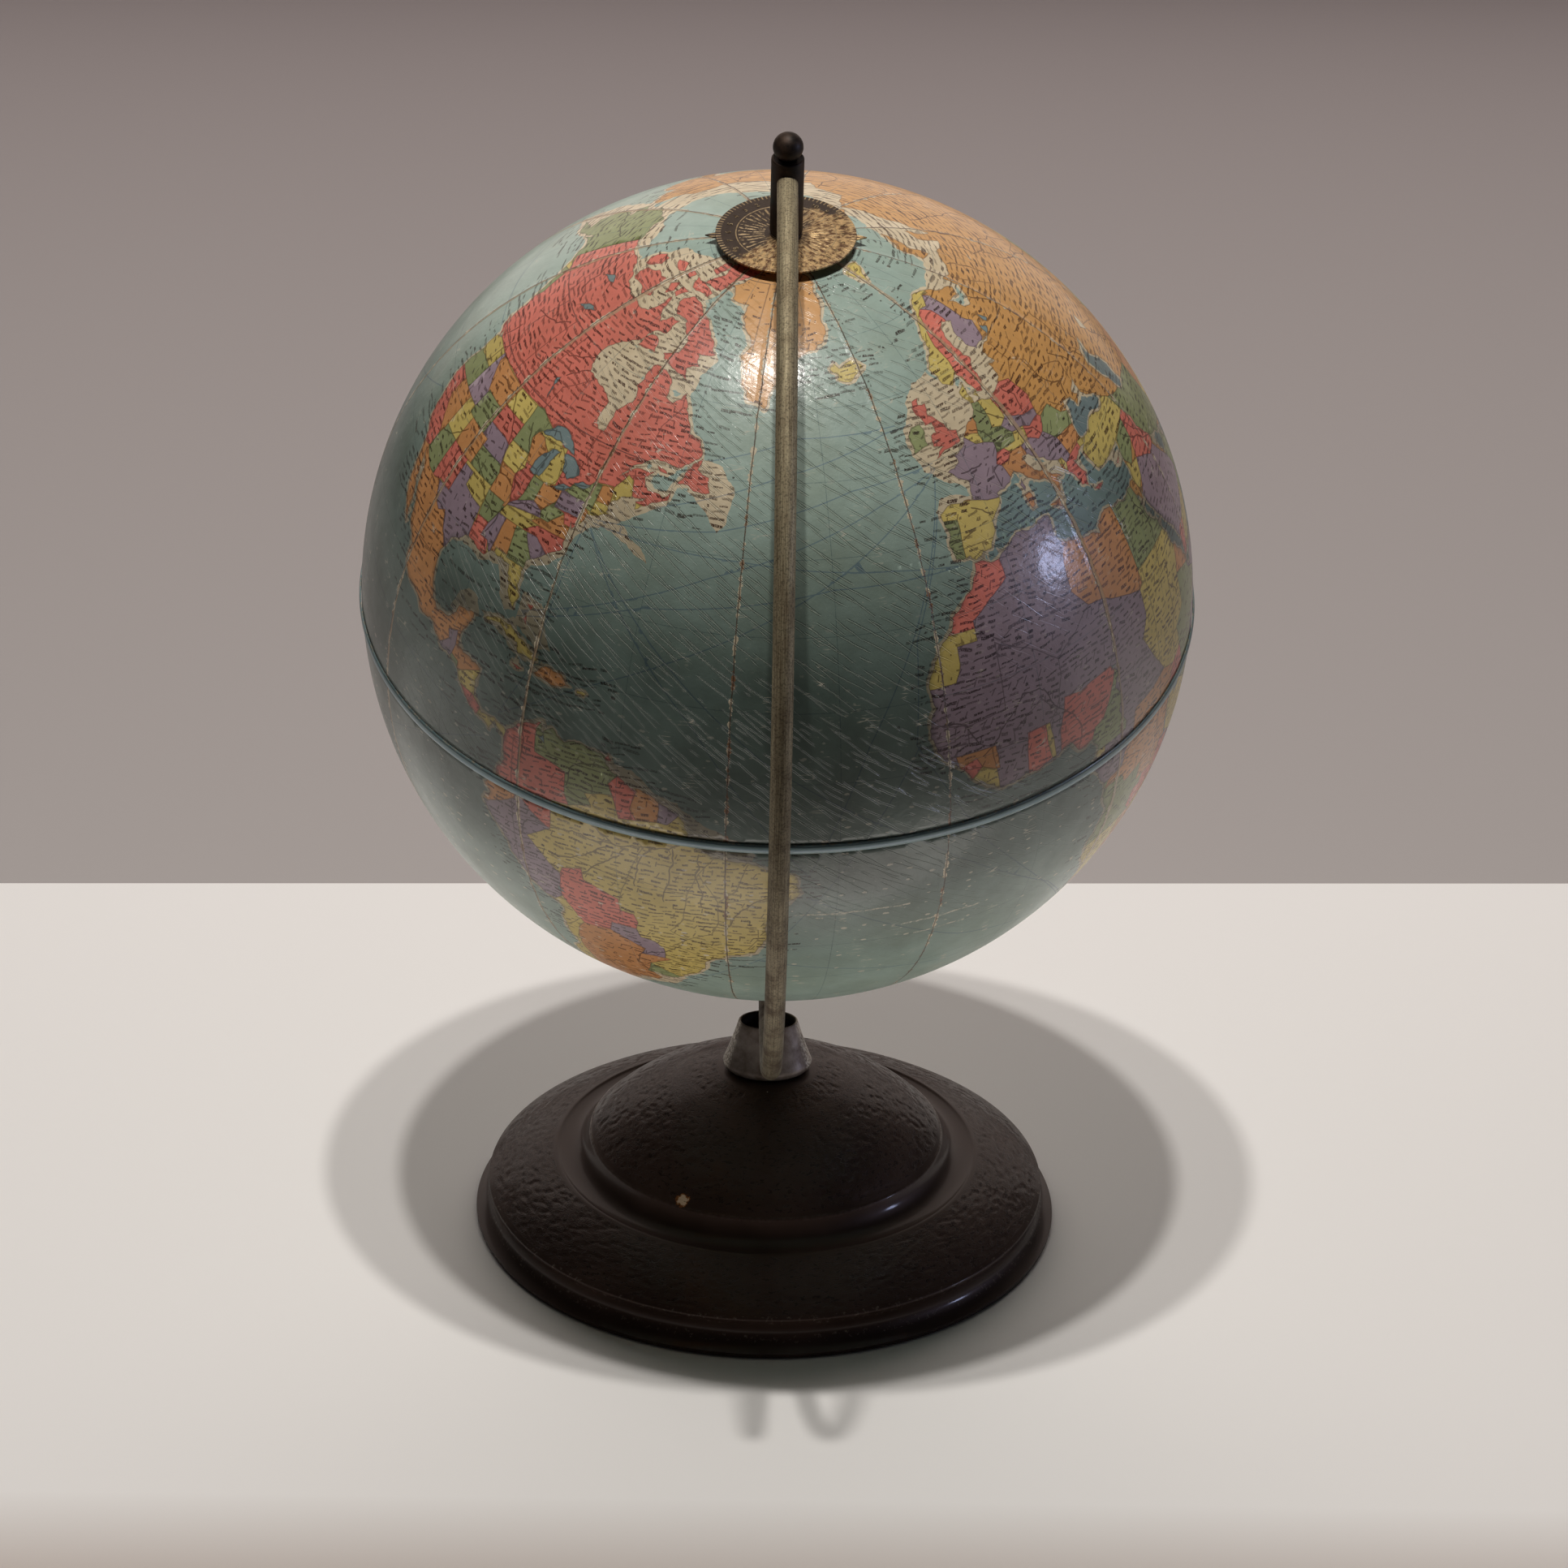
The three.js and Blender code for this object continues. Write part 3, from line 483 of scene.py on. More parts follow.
# the circle, and 48 rays inside it
circle_gap = gap_from(add, reach, CIRCLE_RADIUS)
circle_mark = add("MapRange", (circle_gap, 0.28, 0.12))
ray_turn = add("Math", (angle, 48 / (2 * math.pi)), "MULTIPLY")
ray_part = in_step(add, ray_turn)
ray_line = add("MapRange", (add("Math", (ray_part,), "ABSOLUTE"), 0.26, 0.14))
ray_zone = add("Math", (reach, 12.2, 4.6), "COMPARE")
ray_wear = add("MapRange", (ground, 0.46, 0.54))
ray_cut = product(add, ray_line, ray_zone)
ray_mark = product(add, ray_cut, ray_wear)
marks = add("Math", (add("Math", (scale_mark, circle_mark), "MAXIMUM"), ray_mark), "MAXIMUM")
mark_strength = add("MapRange", (ground, 0.35, 0.55, 0.35, 0.95))
mark_part = product(add, marks, mark_strength)
dial_colour = add("Mix", (mark_part, dial_base, paint("#c9ae84")), "RGBA")
etch_height = add("Math", (marks, ground), "ADD")
etch_bump = add("Bump", {"Height": etch_height, "Strength": 0.5, "Distance": 0.0002})
etch_rough = add("MapRange", (ground, 0.3, 0.7, 0.6, 0.38))
drive(shader, Base_Color=dial_colour, Roughness=etch_rough, Normal=etch_bump)

# %% Turn the disc
DIAL_TOP = 154.3
disc = [(3.15, 153.5), (24.65, 153.5), (24.8, 153.65), *round_corner((24.6, DIAL_TOP - 0.2), 0.2, 0, 90, 4),
        (3.15, DIAL_TOP)]
finished("dial_disc", turned(disc, 192), "dial", etched, ["hour_dial"], NORTH)

# %% [markdown]
# ### The hour figures
# Two runs of twelve, each figure turned to face out from the pin. They start as text, are made
# into a mesh, and are laid on the disc as metal a tenth of a millimetre proud.

# %% Bright raised figures
figure_metal, add, shader = new_finish("rubbed_brass_figures", Metallic=0.7, Roughness=0.45)
local, *_ = axis_millimetres(add)
worn = add("TexNoise", (local, 1 / 1.3, 4.0))
figure_tone = two_tones(add, worn, 0.40, 0.62, "#57442f", "#d0b98f")
drive(shader, Base_Color=figure_tone)

# %% Lay out the figures
FIGURE_RADIUS, FIGURE_HEIGHT = 20.2, 2.9
bm = bmesh.new()
for hour in range(24):
    text = bpy.data.curves.new("figure", "FONT")
    text.body = str(hour % 12 + 1)
    text.size, text.extrude, text.resolution_u = FIGURE_HEIGHT * MM, 0.05 * MM, 3
    text.align_x, text.align_y = "CENTER", "CENTER"
    holder = bpy.data.objects.new("figure", text)
    bpy.context.scene.collection.objects.link(holder)
    bpy.context.view_layer.update()
    outline = bpy.data.meshes.new_from_object(holder)
    turn_to = Matrix.Rotation(math.radians(15 * (hour + 1)), 4, "Z")
    outline.transform(turn_to @ Matrix.Translation((0, FIGURE_RADIUS * MM, (DIAL_TOP + 0.05) * MM)))
    bm.from_mesh(outline)
    bpy.data.objects.remove(holder)
    bpy.data.curves.remove(text)
    bpy.data.meshes.remove(outline)
bmesh.ops.remove_doubles(bm, verts=bm.verts, dist=1e-7)
bmesh.ops.recalc_face_normals(bm, faces=bm.faces)
finished("dial_figures", bm, "dial", figure_metal, place=NORTH)

# %% [markdown]
# ## Drawing the map
# A globe maker prints the world on flat gores and pastes them on. Here the map is drawn flat
# too, once for each half, as seen from above its pole: the distance from the middle of the
# sheet is the distance from the pole. A flat triangulation cuts that sheet along every coast,
# border and river, and the cut sheet is then wrapped onto the sphere. A pattern of plain maths
# can't know where the land is, so the outlines below are listed, as longitude and
# latitude in degrees.

# %% Sea and land outlines
COASTS = """
americas_y: -168,65.6 -162,66.4 -166.8,68.4 -163,69.5 -156.6,71.3 -150,70.4 -141,69.7 -134,69.4 -128,70.1
 -124.5,70 -119,69.3 -115,68.3 -108,67.8 -101,67.8 -95.8,68.2 -94,71.8 -91.6,69.6 -88,68 -85.5,69.5
 -81.5,69.5 -82,67 -86.3,66.5 -87.5,64.6 -93.2,62 -94.7,60 -94.3,58.8 -92.4,57 -88,56.4 -82.3,55.1
 -82.2,52.9 -80.5,51.3 -79,51.4 -79.3,54.5 -76.7,56.5 -78.4,58.8 -77.6,60 -77.9,62.3 -73.7,62.4 -70,61
 -69.4,58.9 -67,58.4 -64.6,60.3 -62,57.5 -60,55 -57.3,54.5 -55.8,52.7 -57.5,51.4 -60,50.2 -66.4,50.2
 -71,46.9 -68.2,48.7 -64.3,49 -66,47.9 -64.5,46.3 -61.3,45.9 -60,46.9 -60.1,45.8 -63.5,44.5 -65.7,43.5
 -66,44.5 -64.3,45.3 -67,45 -70.4,43.5 -70.6,41.9 -69.9,41.8 -71.3,41.4 -74,40.7 -74.3,39.4 -75.5,38
 -76.2,39 -76,37 -75.6,35.3 -77.8,34 -81.2,31.6 -81.3,30 -80.1,27 -80.5,25.2 -81.8,26 -82.8,27.8 -84,30
 -88,30.3 -89.3,29.1 -91.5,29.4 -94.6,29.5 -97.2,27.7 -97.8,22.5 -96.2,19.2 -94.5,18.2 -91.8,18.6 -90.5,19.9
 -90.2,21.1 -87,21.5 -87.6,19.3 -88.4,16 -83.3,15 -83.7,11 -82,9 -79.6,9.5 -77.4,8.6 -75.5,10.5 -74.2,11.2
 -71.7,12.3 -71.6,10.8 -70,12 -68,10.6 -62,10.6 -60.8,8.5 -58,6.8 -54.5,6 -51.4,4.2 -50.1,1.7 -50.2,0.2
 -48.4,-1 -44.4,-2.5 -41.5,-2.9 -38.5,-3.7 -35.4,-5.2 -34.9,-8 -37,-11 -39,-13.2 -39.2,-17.7 -41,-22
 -44.5,-23.1 -48.4,-26 -48.7,-28.4 -52,-32.2 -54,-34.6 -56.2,-34.9 -58.3,-33.7 -57.1,-36.4 -58,-38.2
 -62.1,-39 -62.4,-40.9 -65,-41 -63.7,-42.6 -65.4,-45 -67.5,-46.2 -65.9,-47.8 -69,-50.4 -68.4,-52.5
 -65.3,-54.7 -68.5,-55.6 -73,-53.5 -75.4,-50 -74,-45 -73.5,-37.5 -71.6,-33 -70.2,-20 -76.2,-14 -79.6,-7.5
 -81.3,-4.6 -79.8,-2.8 -80.9,-1.5 -77.3,4 -77.8,7.6 -79.4,9 -80.3,7.4 -83,8.4 -87.6,12.8 -91.5,14 -94.5,16.2
 -98.5,16.3 -102,17.9 -105.6,20.4 -105.4,22 -109,25.6 -111.2,28 -113.2,31 -114.9,31.7 -112.7,28 -109.5,23.1
 -112.2,24.9 -114.8,27.8 -115.9,30.3 -117.2,32.5 -120.6,34.5 -122.5,37.6 -124.3,40.4 -124,46 -124.6,48.3
 -122.8,48.9 -128,51.5 -130.3,54.6 -134.5,58.3 -140,59.8 -146,60.8 -151.5,59.4 -150.5,61.2 -154,58.8
 -158,56.5 -163.5,55 -157.5,58.4 -162,58.7 -165.6,61.6 -161,64.4 -166,64.5
eurasia_u: 32.3,31.2 34.4,31.4 35.9,36 36,36.8 30.6,36.6 27.4,36.9 26.4,39.2 26.2,40.1 29,41.2 26,40.8
 23.7,40.2 22.8,40.4 24,38 22.8,36.5 21.4,37.2 19.5,40.5 19.4,42 14,45.2 12.4,45.4 12.6,43.9 14.2,42.4
 15.9,41.6 18.4,40 16.9,40.4 16,37.9 15.7,40 12,42 10.3,43.5 8.8,44.4 6.8,43.4 3.2,43 3.1,41.9 0,40
 -0.2,38.7 -2,36.8 -5.4,36.1 -6.4,36.9 -8.9,37 -9.4,38.8 -8.8,41 -9.2,43.1 -2,43.4 -1.2,45.9 -4.6,48
 -1.5,48.7 -1.7,49.7 1.7,50.6 4.5,52.6 8.6,53.9 8.1,56.8 10.6,57.7 10,54.6 14.3,53.9 18.6,54.7 21,55.3
 21.7,57.5 24.2,57.2 23.6,59.2 28,59.6 30,60 23,60 21.3,61.5 21.6,63 25.3,65 22.2,65.8 17.5,62.5 17.5,60.6
 18.8,59.8 16.6,58.6 16.2,56.5 14.2,55.4 12.8,55.7 11.3,58.8 10.6,59.3 8,58.1 5.6,58.9 5,61.5 10,64
 14.5,67.8 19,69.8 25,71.1 31,70.3 41.2,67 38.5,66.1 33,66.7 34.9,64.5 38,64 40.2,64.7 44,66.2 43.6,68.5
 46.5,67.9 54,68.5 60.8,69.2 68.4,68.3 67,71.5 72.6,72.8 73.5,69 80.4,72.3 87,75 104,77.7 113.4,73.8
 127,73.3 131,71 140,72.6 160,69.7 170,69.9 180,68.9 190.2,66.1 184.5,64.6 178,64.5 179.3,62.6 170.3,60
 164,59.8 162,56.3 156.7,51 156,56 163,61.8 154.5,59.5 143,59.2 135.4,54.7 141,52.7 140.3,48.2 135.5,44.3
 132,43.2 127.6,39.6 129.5,36 126.4,34.6 126.7,37.6 124.7,39.7 121.3,38.9 121.8,40.8 118,39.1 122.4,37.1
 119.4,35 122,31 118.5,24.7 110.4,21.2 106,19.8 109.2,13 106.7,10.4 104.8,8.7 105,10.4 100.9,13.4 99.3,10.5
 103.3,4.6 104.2,1.4 100.5,4.5 98.4,8 97.6,16.4 94.4,16 91.6,22.6 87,21.4 85.4,19.7 80.2,15.6 79.8,10.3
 77.6,8.1 74.8,13 72.8,19.5 72.4,21.6 70.4,20.8 66.8,25 57.3,25.7 54.5,26.6 50.8,28.8 48.6,30 48.2,28.7
 51.4,25.4 51.8,24.1 56.3,26.1 56.6,24.3 59.8,22.4 55.2,17.4 45,12.8 43.4,12.7 42.6,16.6 39,21 35,28
 34.9,29.4 34.2,27.8 32.6,29.9
africa_p: 32.3,31.2 29,30.8 23.2,32.5 20,31.5 19.9,30.4 15.4,31.8 11.2,33.2 10.3,34.2 11,37 9.8,37.3 0,35.8
 -2.2,35.1 -5.9,35.8 -6.9,34 -9.8,31.4 -13,27.8 -14.9,25.8 -17,21 -16.3,18.5 -17.5,14.7 -16.7,12.3 -13.3,9
 -11.4,6.8 -7.6,4.4 -2,4.8 4.4,6.4 6,4.3 8.6,4.7 9.8,3 8.8,-0.8 12.2,-6 13.8,-11 11.8,-16.5 14.5,-22.8
 15.3,-27 18.3,-32.5 18.5,-34.3 20,-34.8 25.7,-34 30.9,-30 32.8,-25.8 35.5,-24 34.9,-19.9 40.6,-15.5
 40.5,-10.6 38.9,-6 40,-3.3 48,4.5 51.3,11.8 44.8,10.4 43.2,11.6 43,12.8 37.3,19.5 35.5,24 32.6,29.9
greenland_a: -73,78.2 -68,76 -58,75.7 -54.5,71.5 -51,69.6 -53.6,67.3 -51,63.5 -48,61 -43.5,60 -42.3,62.5
 -39.5,65.4 -33,67.9 -23.5,70 -22,73 -19.5,75.5 -17,80 -24,82.4 -34,83.5 -50,82.4 -60,82 -66,80.2
iceland_y: -24.2,65.6 -22.4,66.4 -21.2,65.5 -16,66.5 -13.6,65.1 -18.7,63.4 -22.6,63.9 -22,64.6
britain_r: -5.6,50.1 1.3,51.2 1.7,52.7 0.3,53 -1.5,55 -3,56 -2,57.6 -4,57.7 -3.1,58.6 -5.1,58.4 -5.7,56.5
 -4.8,54.8 -3,54.9 -3.1,53.4 -4.5,53.3 -5.2,51.8 -3,51.4
ireland_g: -6.2,52.2 -10,51.6 -9.8,54.1 -8.3,55.1 -6,55.2 -5.6,54.4 -6.2,53.4
newfoundland_r: -59.3,48.2 -57.2,51.2 -55.5,52.1 -56,50.6 -53.4,49.8 -52.6,47.8 -54,47.6 -55.8,47.7 -57,48.3
baffin_r: -77.8,64.4 -71.6,62.9 -66.2,61.9 -68.5,63.6 -64.8,64.4 -67.2,66.2 -61.7,66.7 -68,70 -77,72.6
 -85.5,73.8 -89.2,72.6 -85,70.2 -79,70 -73.2,67.3 -73.5,65.4
victoria_r: -116.5,69.3 -105.5,69 -101.5,69.8 -105,72.9 -114,72.7 -118.8,71.3
banks_r: -125.6,72 -122.5,71.2 -117.8,73.2 -120.5,74.4 -124.6,74.2
prince_of_wales_r: -102,73 -98.4,71.5 -96.6,72.6 -99.5,74
somerset_r: -95.4,73.9 -90.6,73.8 -93,72.1 -95.6,72.5
melville_r: -116.5,75.6 -108,74.9 -105.5,75.6 -110,76.5
bathurst_r: -103,75.7 -98,75 -98.6,76.5 -102,76.6
devon_r: -96,76.4 -89.5,76.4 -80,75.5 -80.5,74.6 -91.6,74.7
ellesmere_r: -89,76.4 -79.5,76.2 -75.5,78.6 -67,80.4 -62,82.4 -72,83.1 -86,82.3 -86.5,80 -84.5,79
axel_heiberg_r: -95,80.8 -90,81.1 -87.8,79.6 -89,78.3 -95,78.6
southampton_r: -87,63.7 -80.6,63.9 -83.8,66 -86.2,65.8
anticosti_r: -64.3,49.8 -61.8,49.1 -63.4,49.2
vancouver_r: -128.2,50.7 -125,49.8 -123.5,48.4 -126.5,49.3
cuba_y: -84.9,21.9 -82.5,23 -80,23 -76,21.1 -74.2,20.2 -77.6,19.9 -78.2,21.2 -82,22.4
hispaniola_o: -74.3,18.4 -72.7,19.9 -69.9,19.7 -68.4,18.5 -71.2,17.8
jamaica_r: -78.3,18.3 -76.3,18.1 -77.2,17.8
puerto_rico_y: -67.2,18.4 -65.7,18.4 -66,17.9 -67.2,18
andros_r: -78.3,24.6 -77.9,25.2 -77.5,24
abaco_r: -78.3,26.7 -77.2,26.8 -77.4,26.1
trinidad_r: -61.9,10.1 -61.4,10.8 -60.9,10.1
falklands_r: -61,-51.9 -57.8,-51.6 -59,-52.4
svalbard_y: 11,79.6 20,80.4 27,80 21,78.4 17,76.7 13,78
novaya_zemlya_u: 51.6,71.5 55,75.1 68,76.9 58,73.6 57,70.6
severnaya_u: 95,79 97,81 105,79 100,78
new_siberia_u: 137,75.4 150,75.2 141,73.7
zealand_y: 11.1,55.7 12.6,56 12.1,54.9
corsica_p: 8.6,42.4 9.4,43 9.4,41.8 8.9,41.4
sardinia_o: 8.3,41 9.7,41 9.6,39.2 8.6,39
sicily_o: 12.5,38 15.5,38.2 15.1,36.7
crete_r: 23.6,35.5 26.3,35.2 24.8,34.9
cyprus_r: 32.3,35 34.5,35.6 33,34.6
madagascar_p: 49.3,-12 50.4,-15.8 47.8,-23 46.8,-25.2 44,-25 43.4,-22 44.5,-20 44.2,-16.4 47,-15.4
honshu_y: 131,34.3 136,35.8 137,37.4 139.8,38.8 140.2,41 141.5,41.3 141,38.2 140.7,35.6 135.8,33.5
 132.5,34.2
hokkaido_y: 140,41.6 141.7,45.4 145.4,43.3 143.2,42
kyushu_y: 130,33.6 131.8,33.5 131.2,31.3 130.2,31.2
shikoku_y: 132.4,33.5 134.5,34.3 134,33.3 132.8,32.8
sakhalin_u: 142,46 143.6,49.3 143.3,52.5 142.6,54.3 141.9,51
taiwan_g: 120.1,23 121.6,25.2 120.9,22
hainan_g: 108.7,19.2 110.9,20 109.6,18.3
luzon_y: 120.3,16 120.9,18.5 122.3,18.3 121.7,15.6 124,12.8 120.8,13.9
mindanao_y: 122,7 125.4,9.7 126.5,7.4 125.4,5.8 124,6.6
samar_y: 124.3,12.4 125.6,12 125.2,10.2
panay_y: 122,11.7 123.3,10.9 123,9.2
palawan_y: 117.2,8.4 119.5,11.3 119.2,10
borneo_o: 109.1,1.4 113,3.2 117,7 119.2,5.2 117.8,3 118.9,1 117.4,0 116,-4 111.6,-3.4 109.2,-0.4
sumatra_o: 95.3,5.6 97.6,5.2 103.7,0 106,-3.2 105.8,-5.8 104.3,-5.6 98.8,1.5
java_o: 105.3,-6.8 108.5,-6.6 114.5,-7.8 114.4,-8.7 108,-7.8
timor_g: 123.6,-10.3 127.2,-8.4 125,-9.3
flores_o: 119,-8.6 122.9,-8.3 120,-9
sulawesi_o: 119.5,-5.5 118.9,-2.8 119.9,0.7 125,1.6 120.3,0.2 120.4,-1 123.2,-0.9 121.6,-2 122.6,-4.5
 120.8,-3
halmahera_o: 127.5,0 127.9,2 128.6,0.8
new_guinea_g: 131,-0.8 134,-0.9 135,-3.3 138,-1.7 145,-4.3 147.8,-6 150.8,-10.5 144.6,-7.7 143,-9.2 138,-8.3
 138.8,-7 135,-4.4 132.2,-2.9
new_britain_g: 148.5,-5.7 152.2,-4.2 151,-6
new_caledonia_p: 164,-20.1 167,-22.3 165,-21.6
viti_levu_r: 177.3,-17.5 178.7,-17.8 177.8,-18.3
sri_lanka_r: 79.8,7.5 80,9.7 81.8,7.4 80.6,6
australia_r: 113.6,-22.6 113.9,-26.5 115.7,-31.6 115,-34.3 118,-35 123.6,-33.9 131,-31.5 135.6,-34.9
 137.8,-32.8 138.4,-35.6 140.6,-38 146.4,-39 150,-37.4 153.5,-28.5 153,-25 149,-20.4 146,-18.9 145.3,-15
 142.5,-10.8 140.9,-17.5 135.5,-14.9 136.8,-12.2 130.8,-12.3 129.5,-15 126,-14 122.2,-17.9 119,-20
tasmania_r: 144.7,-40.8 148.3,-40.9 146.5,-43.5
new_zealand_north_r: 172.8,-34.5 175.5,-36.9 178.5,-37.8 175.3,-41.6 173.8,-39.3 174.8,-37.6
new_zealand_south_r: 172.7,-40.6 174.2,-41.7 170.8,-45.9 168.5,-46.6 166.5,-45.9
antarctica_k: -180,-78 -158,-77 -145,-75.4 -103,-73 -75,-72.8 -67,-66.5 -57.5,-63.4 -61,-72 -65,-76 -50,-78
 -35,-78 -12,-71.5 20,-70 50,-66.5 70,-69.3 95,-66.3 140,-66.6 170,-71.5 163,-78 180,-78 180,-90 -180,-90
"""
LAKES_AND_SEAS = """
black_sea: 28.1,41.5 31.5,41.3 35,42 38.3,41 41.6,41.7 37.4,44.8 39.2,47.2 35.2,46.1 36.3,45.2 33.7,44.5
 33.6,46 31,46.6 28.6,43.7
caspian: 47,44.6 49.2,46.4 53,46.8 51,44.5 53.8,40.5 53.9,37 50.3,37.4 49.3,40.3 47.5,43
aral: 58.4,45.5 61.5,46.5 60,43.9
baikal: 104,51.6 106.2,52.6 109.8,55.6 108.4,53.4
victoria_nyanza: 31.8,-0.4 34.2,0.2 33.8,-2 31.9,-2.5
tanganyika: 29.3,-3.5 29.8,-5 31,-8.6 29.9,-7.5
nyasa: 34,-9.6 34.9,-12 35,-14.2 34.3,-11.8
superior: -91.5,47 -89.5,48.8 -86,49 -83.2,47.8 -82,46.8 -85,47 -88.5,47.2
michigan: -89,42 -88.5,44.5 -87,46 -85,46.2 -86,44.5 -86.5,42
huron: -84,46.3 -81,46.3 -78.8,44.8 -80.8,43.6 -82.5,44.3
erie: -83,41.8 -81,42.9 -78.5,43 -80.5,42
ontario: -79,43.6 -77.5,44.3 -75.6,44.3 -76.5,43.5
winnipeg: -98.7,53.4 -96.6,50.6 -97.8,53.8
great_slave: -116,61.2 -109.6,62.7 -114,62.4
great_bear: -124.4,65.4 -118,66.3 -122,66.8
ladoga: 30.3,60.1 33,60.8 31.3,61.6
onega: 34.8,61 36.2,61.2 35,62.6
titicaca: -70,-15.4 -68.8,-16.5 -69.8,-16.2
chad: 13.5,13.6 14.8,13.3 14,12.7
balkhash: 73.8,45.6 79,46.8 76,46.6
maracaibo: -72,9.9 -71,9.3 -71.3,10.5
"""

# %% [markdown]
# ### Countries and states
# After each name, as after each coast's, comes the letter of its ink: red, orange, yellow,
# green, purple. Old maps make do with few inks, and only keep neighbours apart. The shapes may
# run out to sea, because ink is only laid on land.

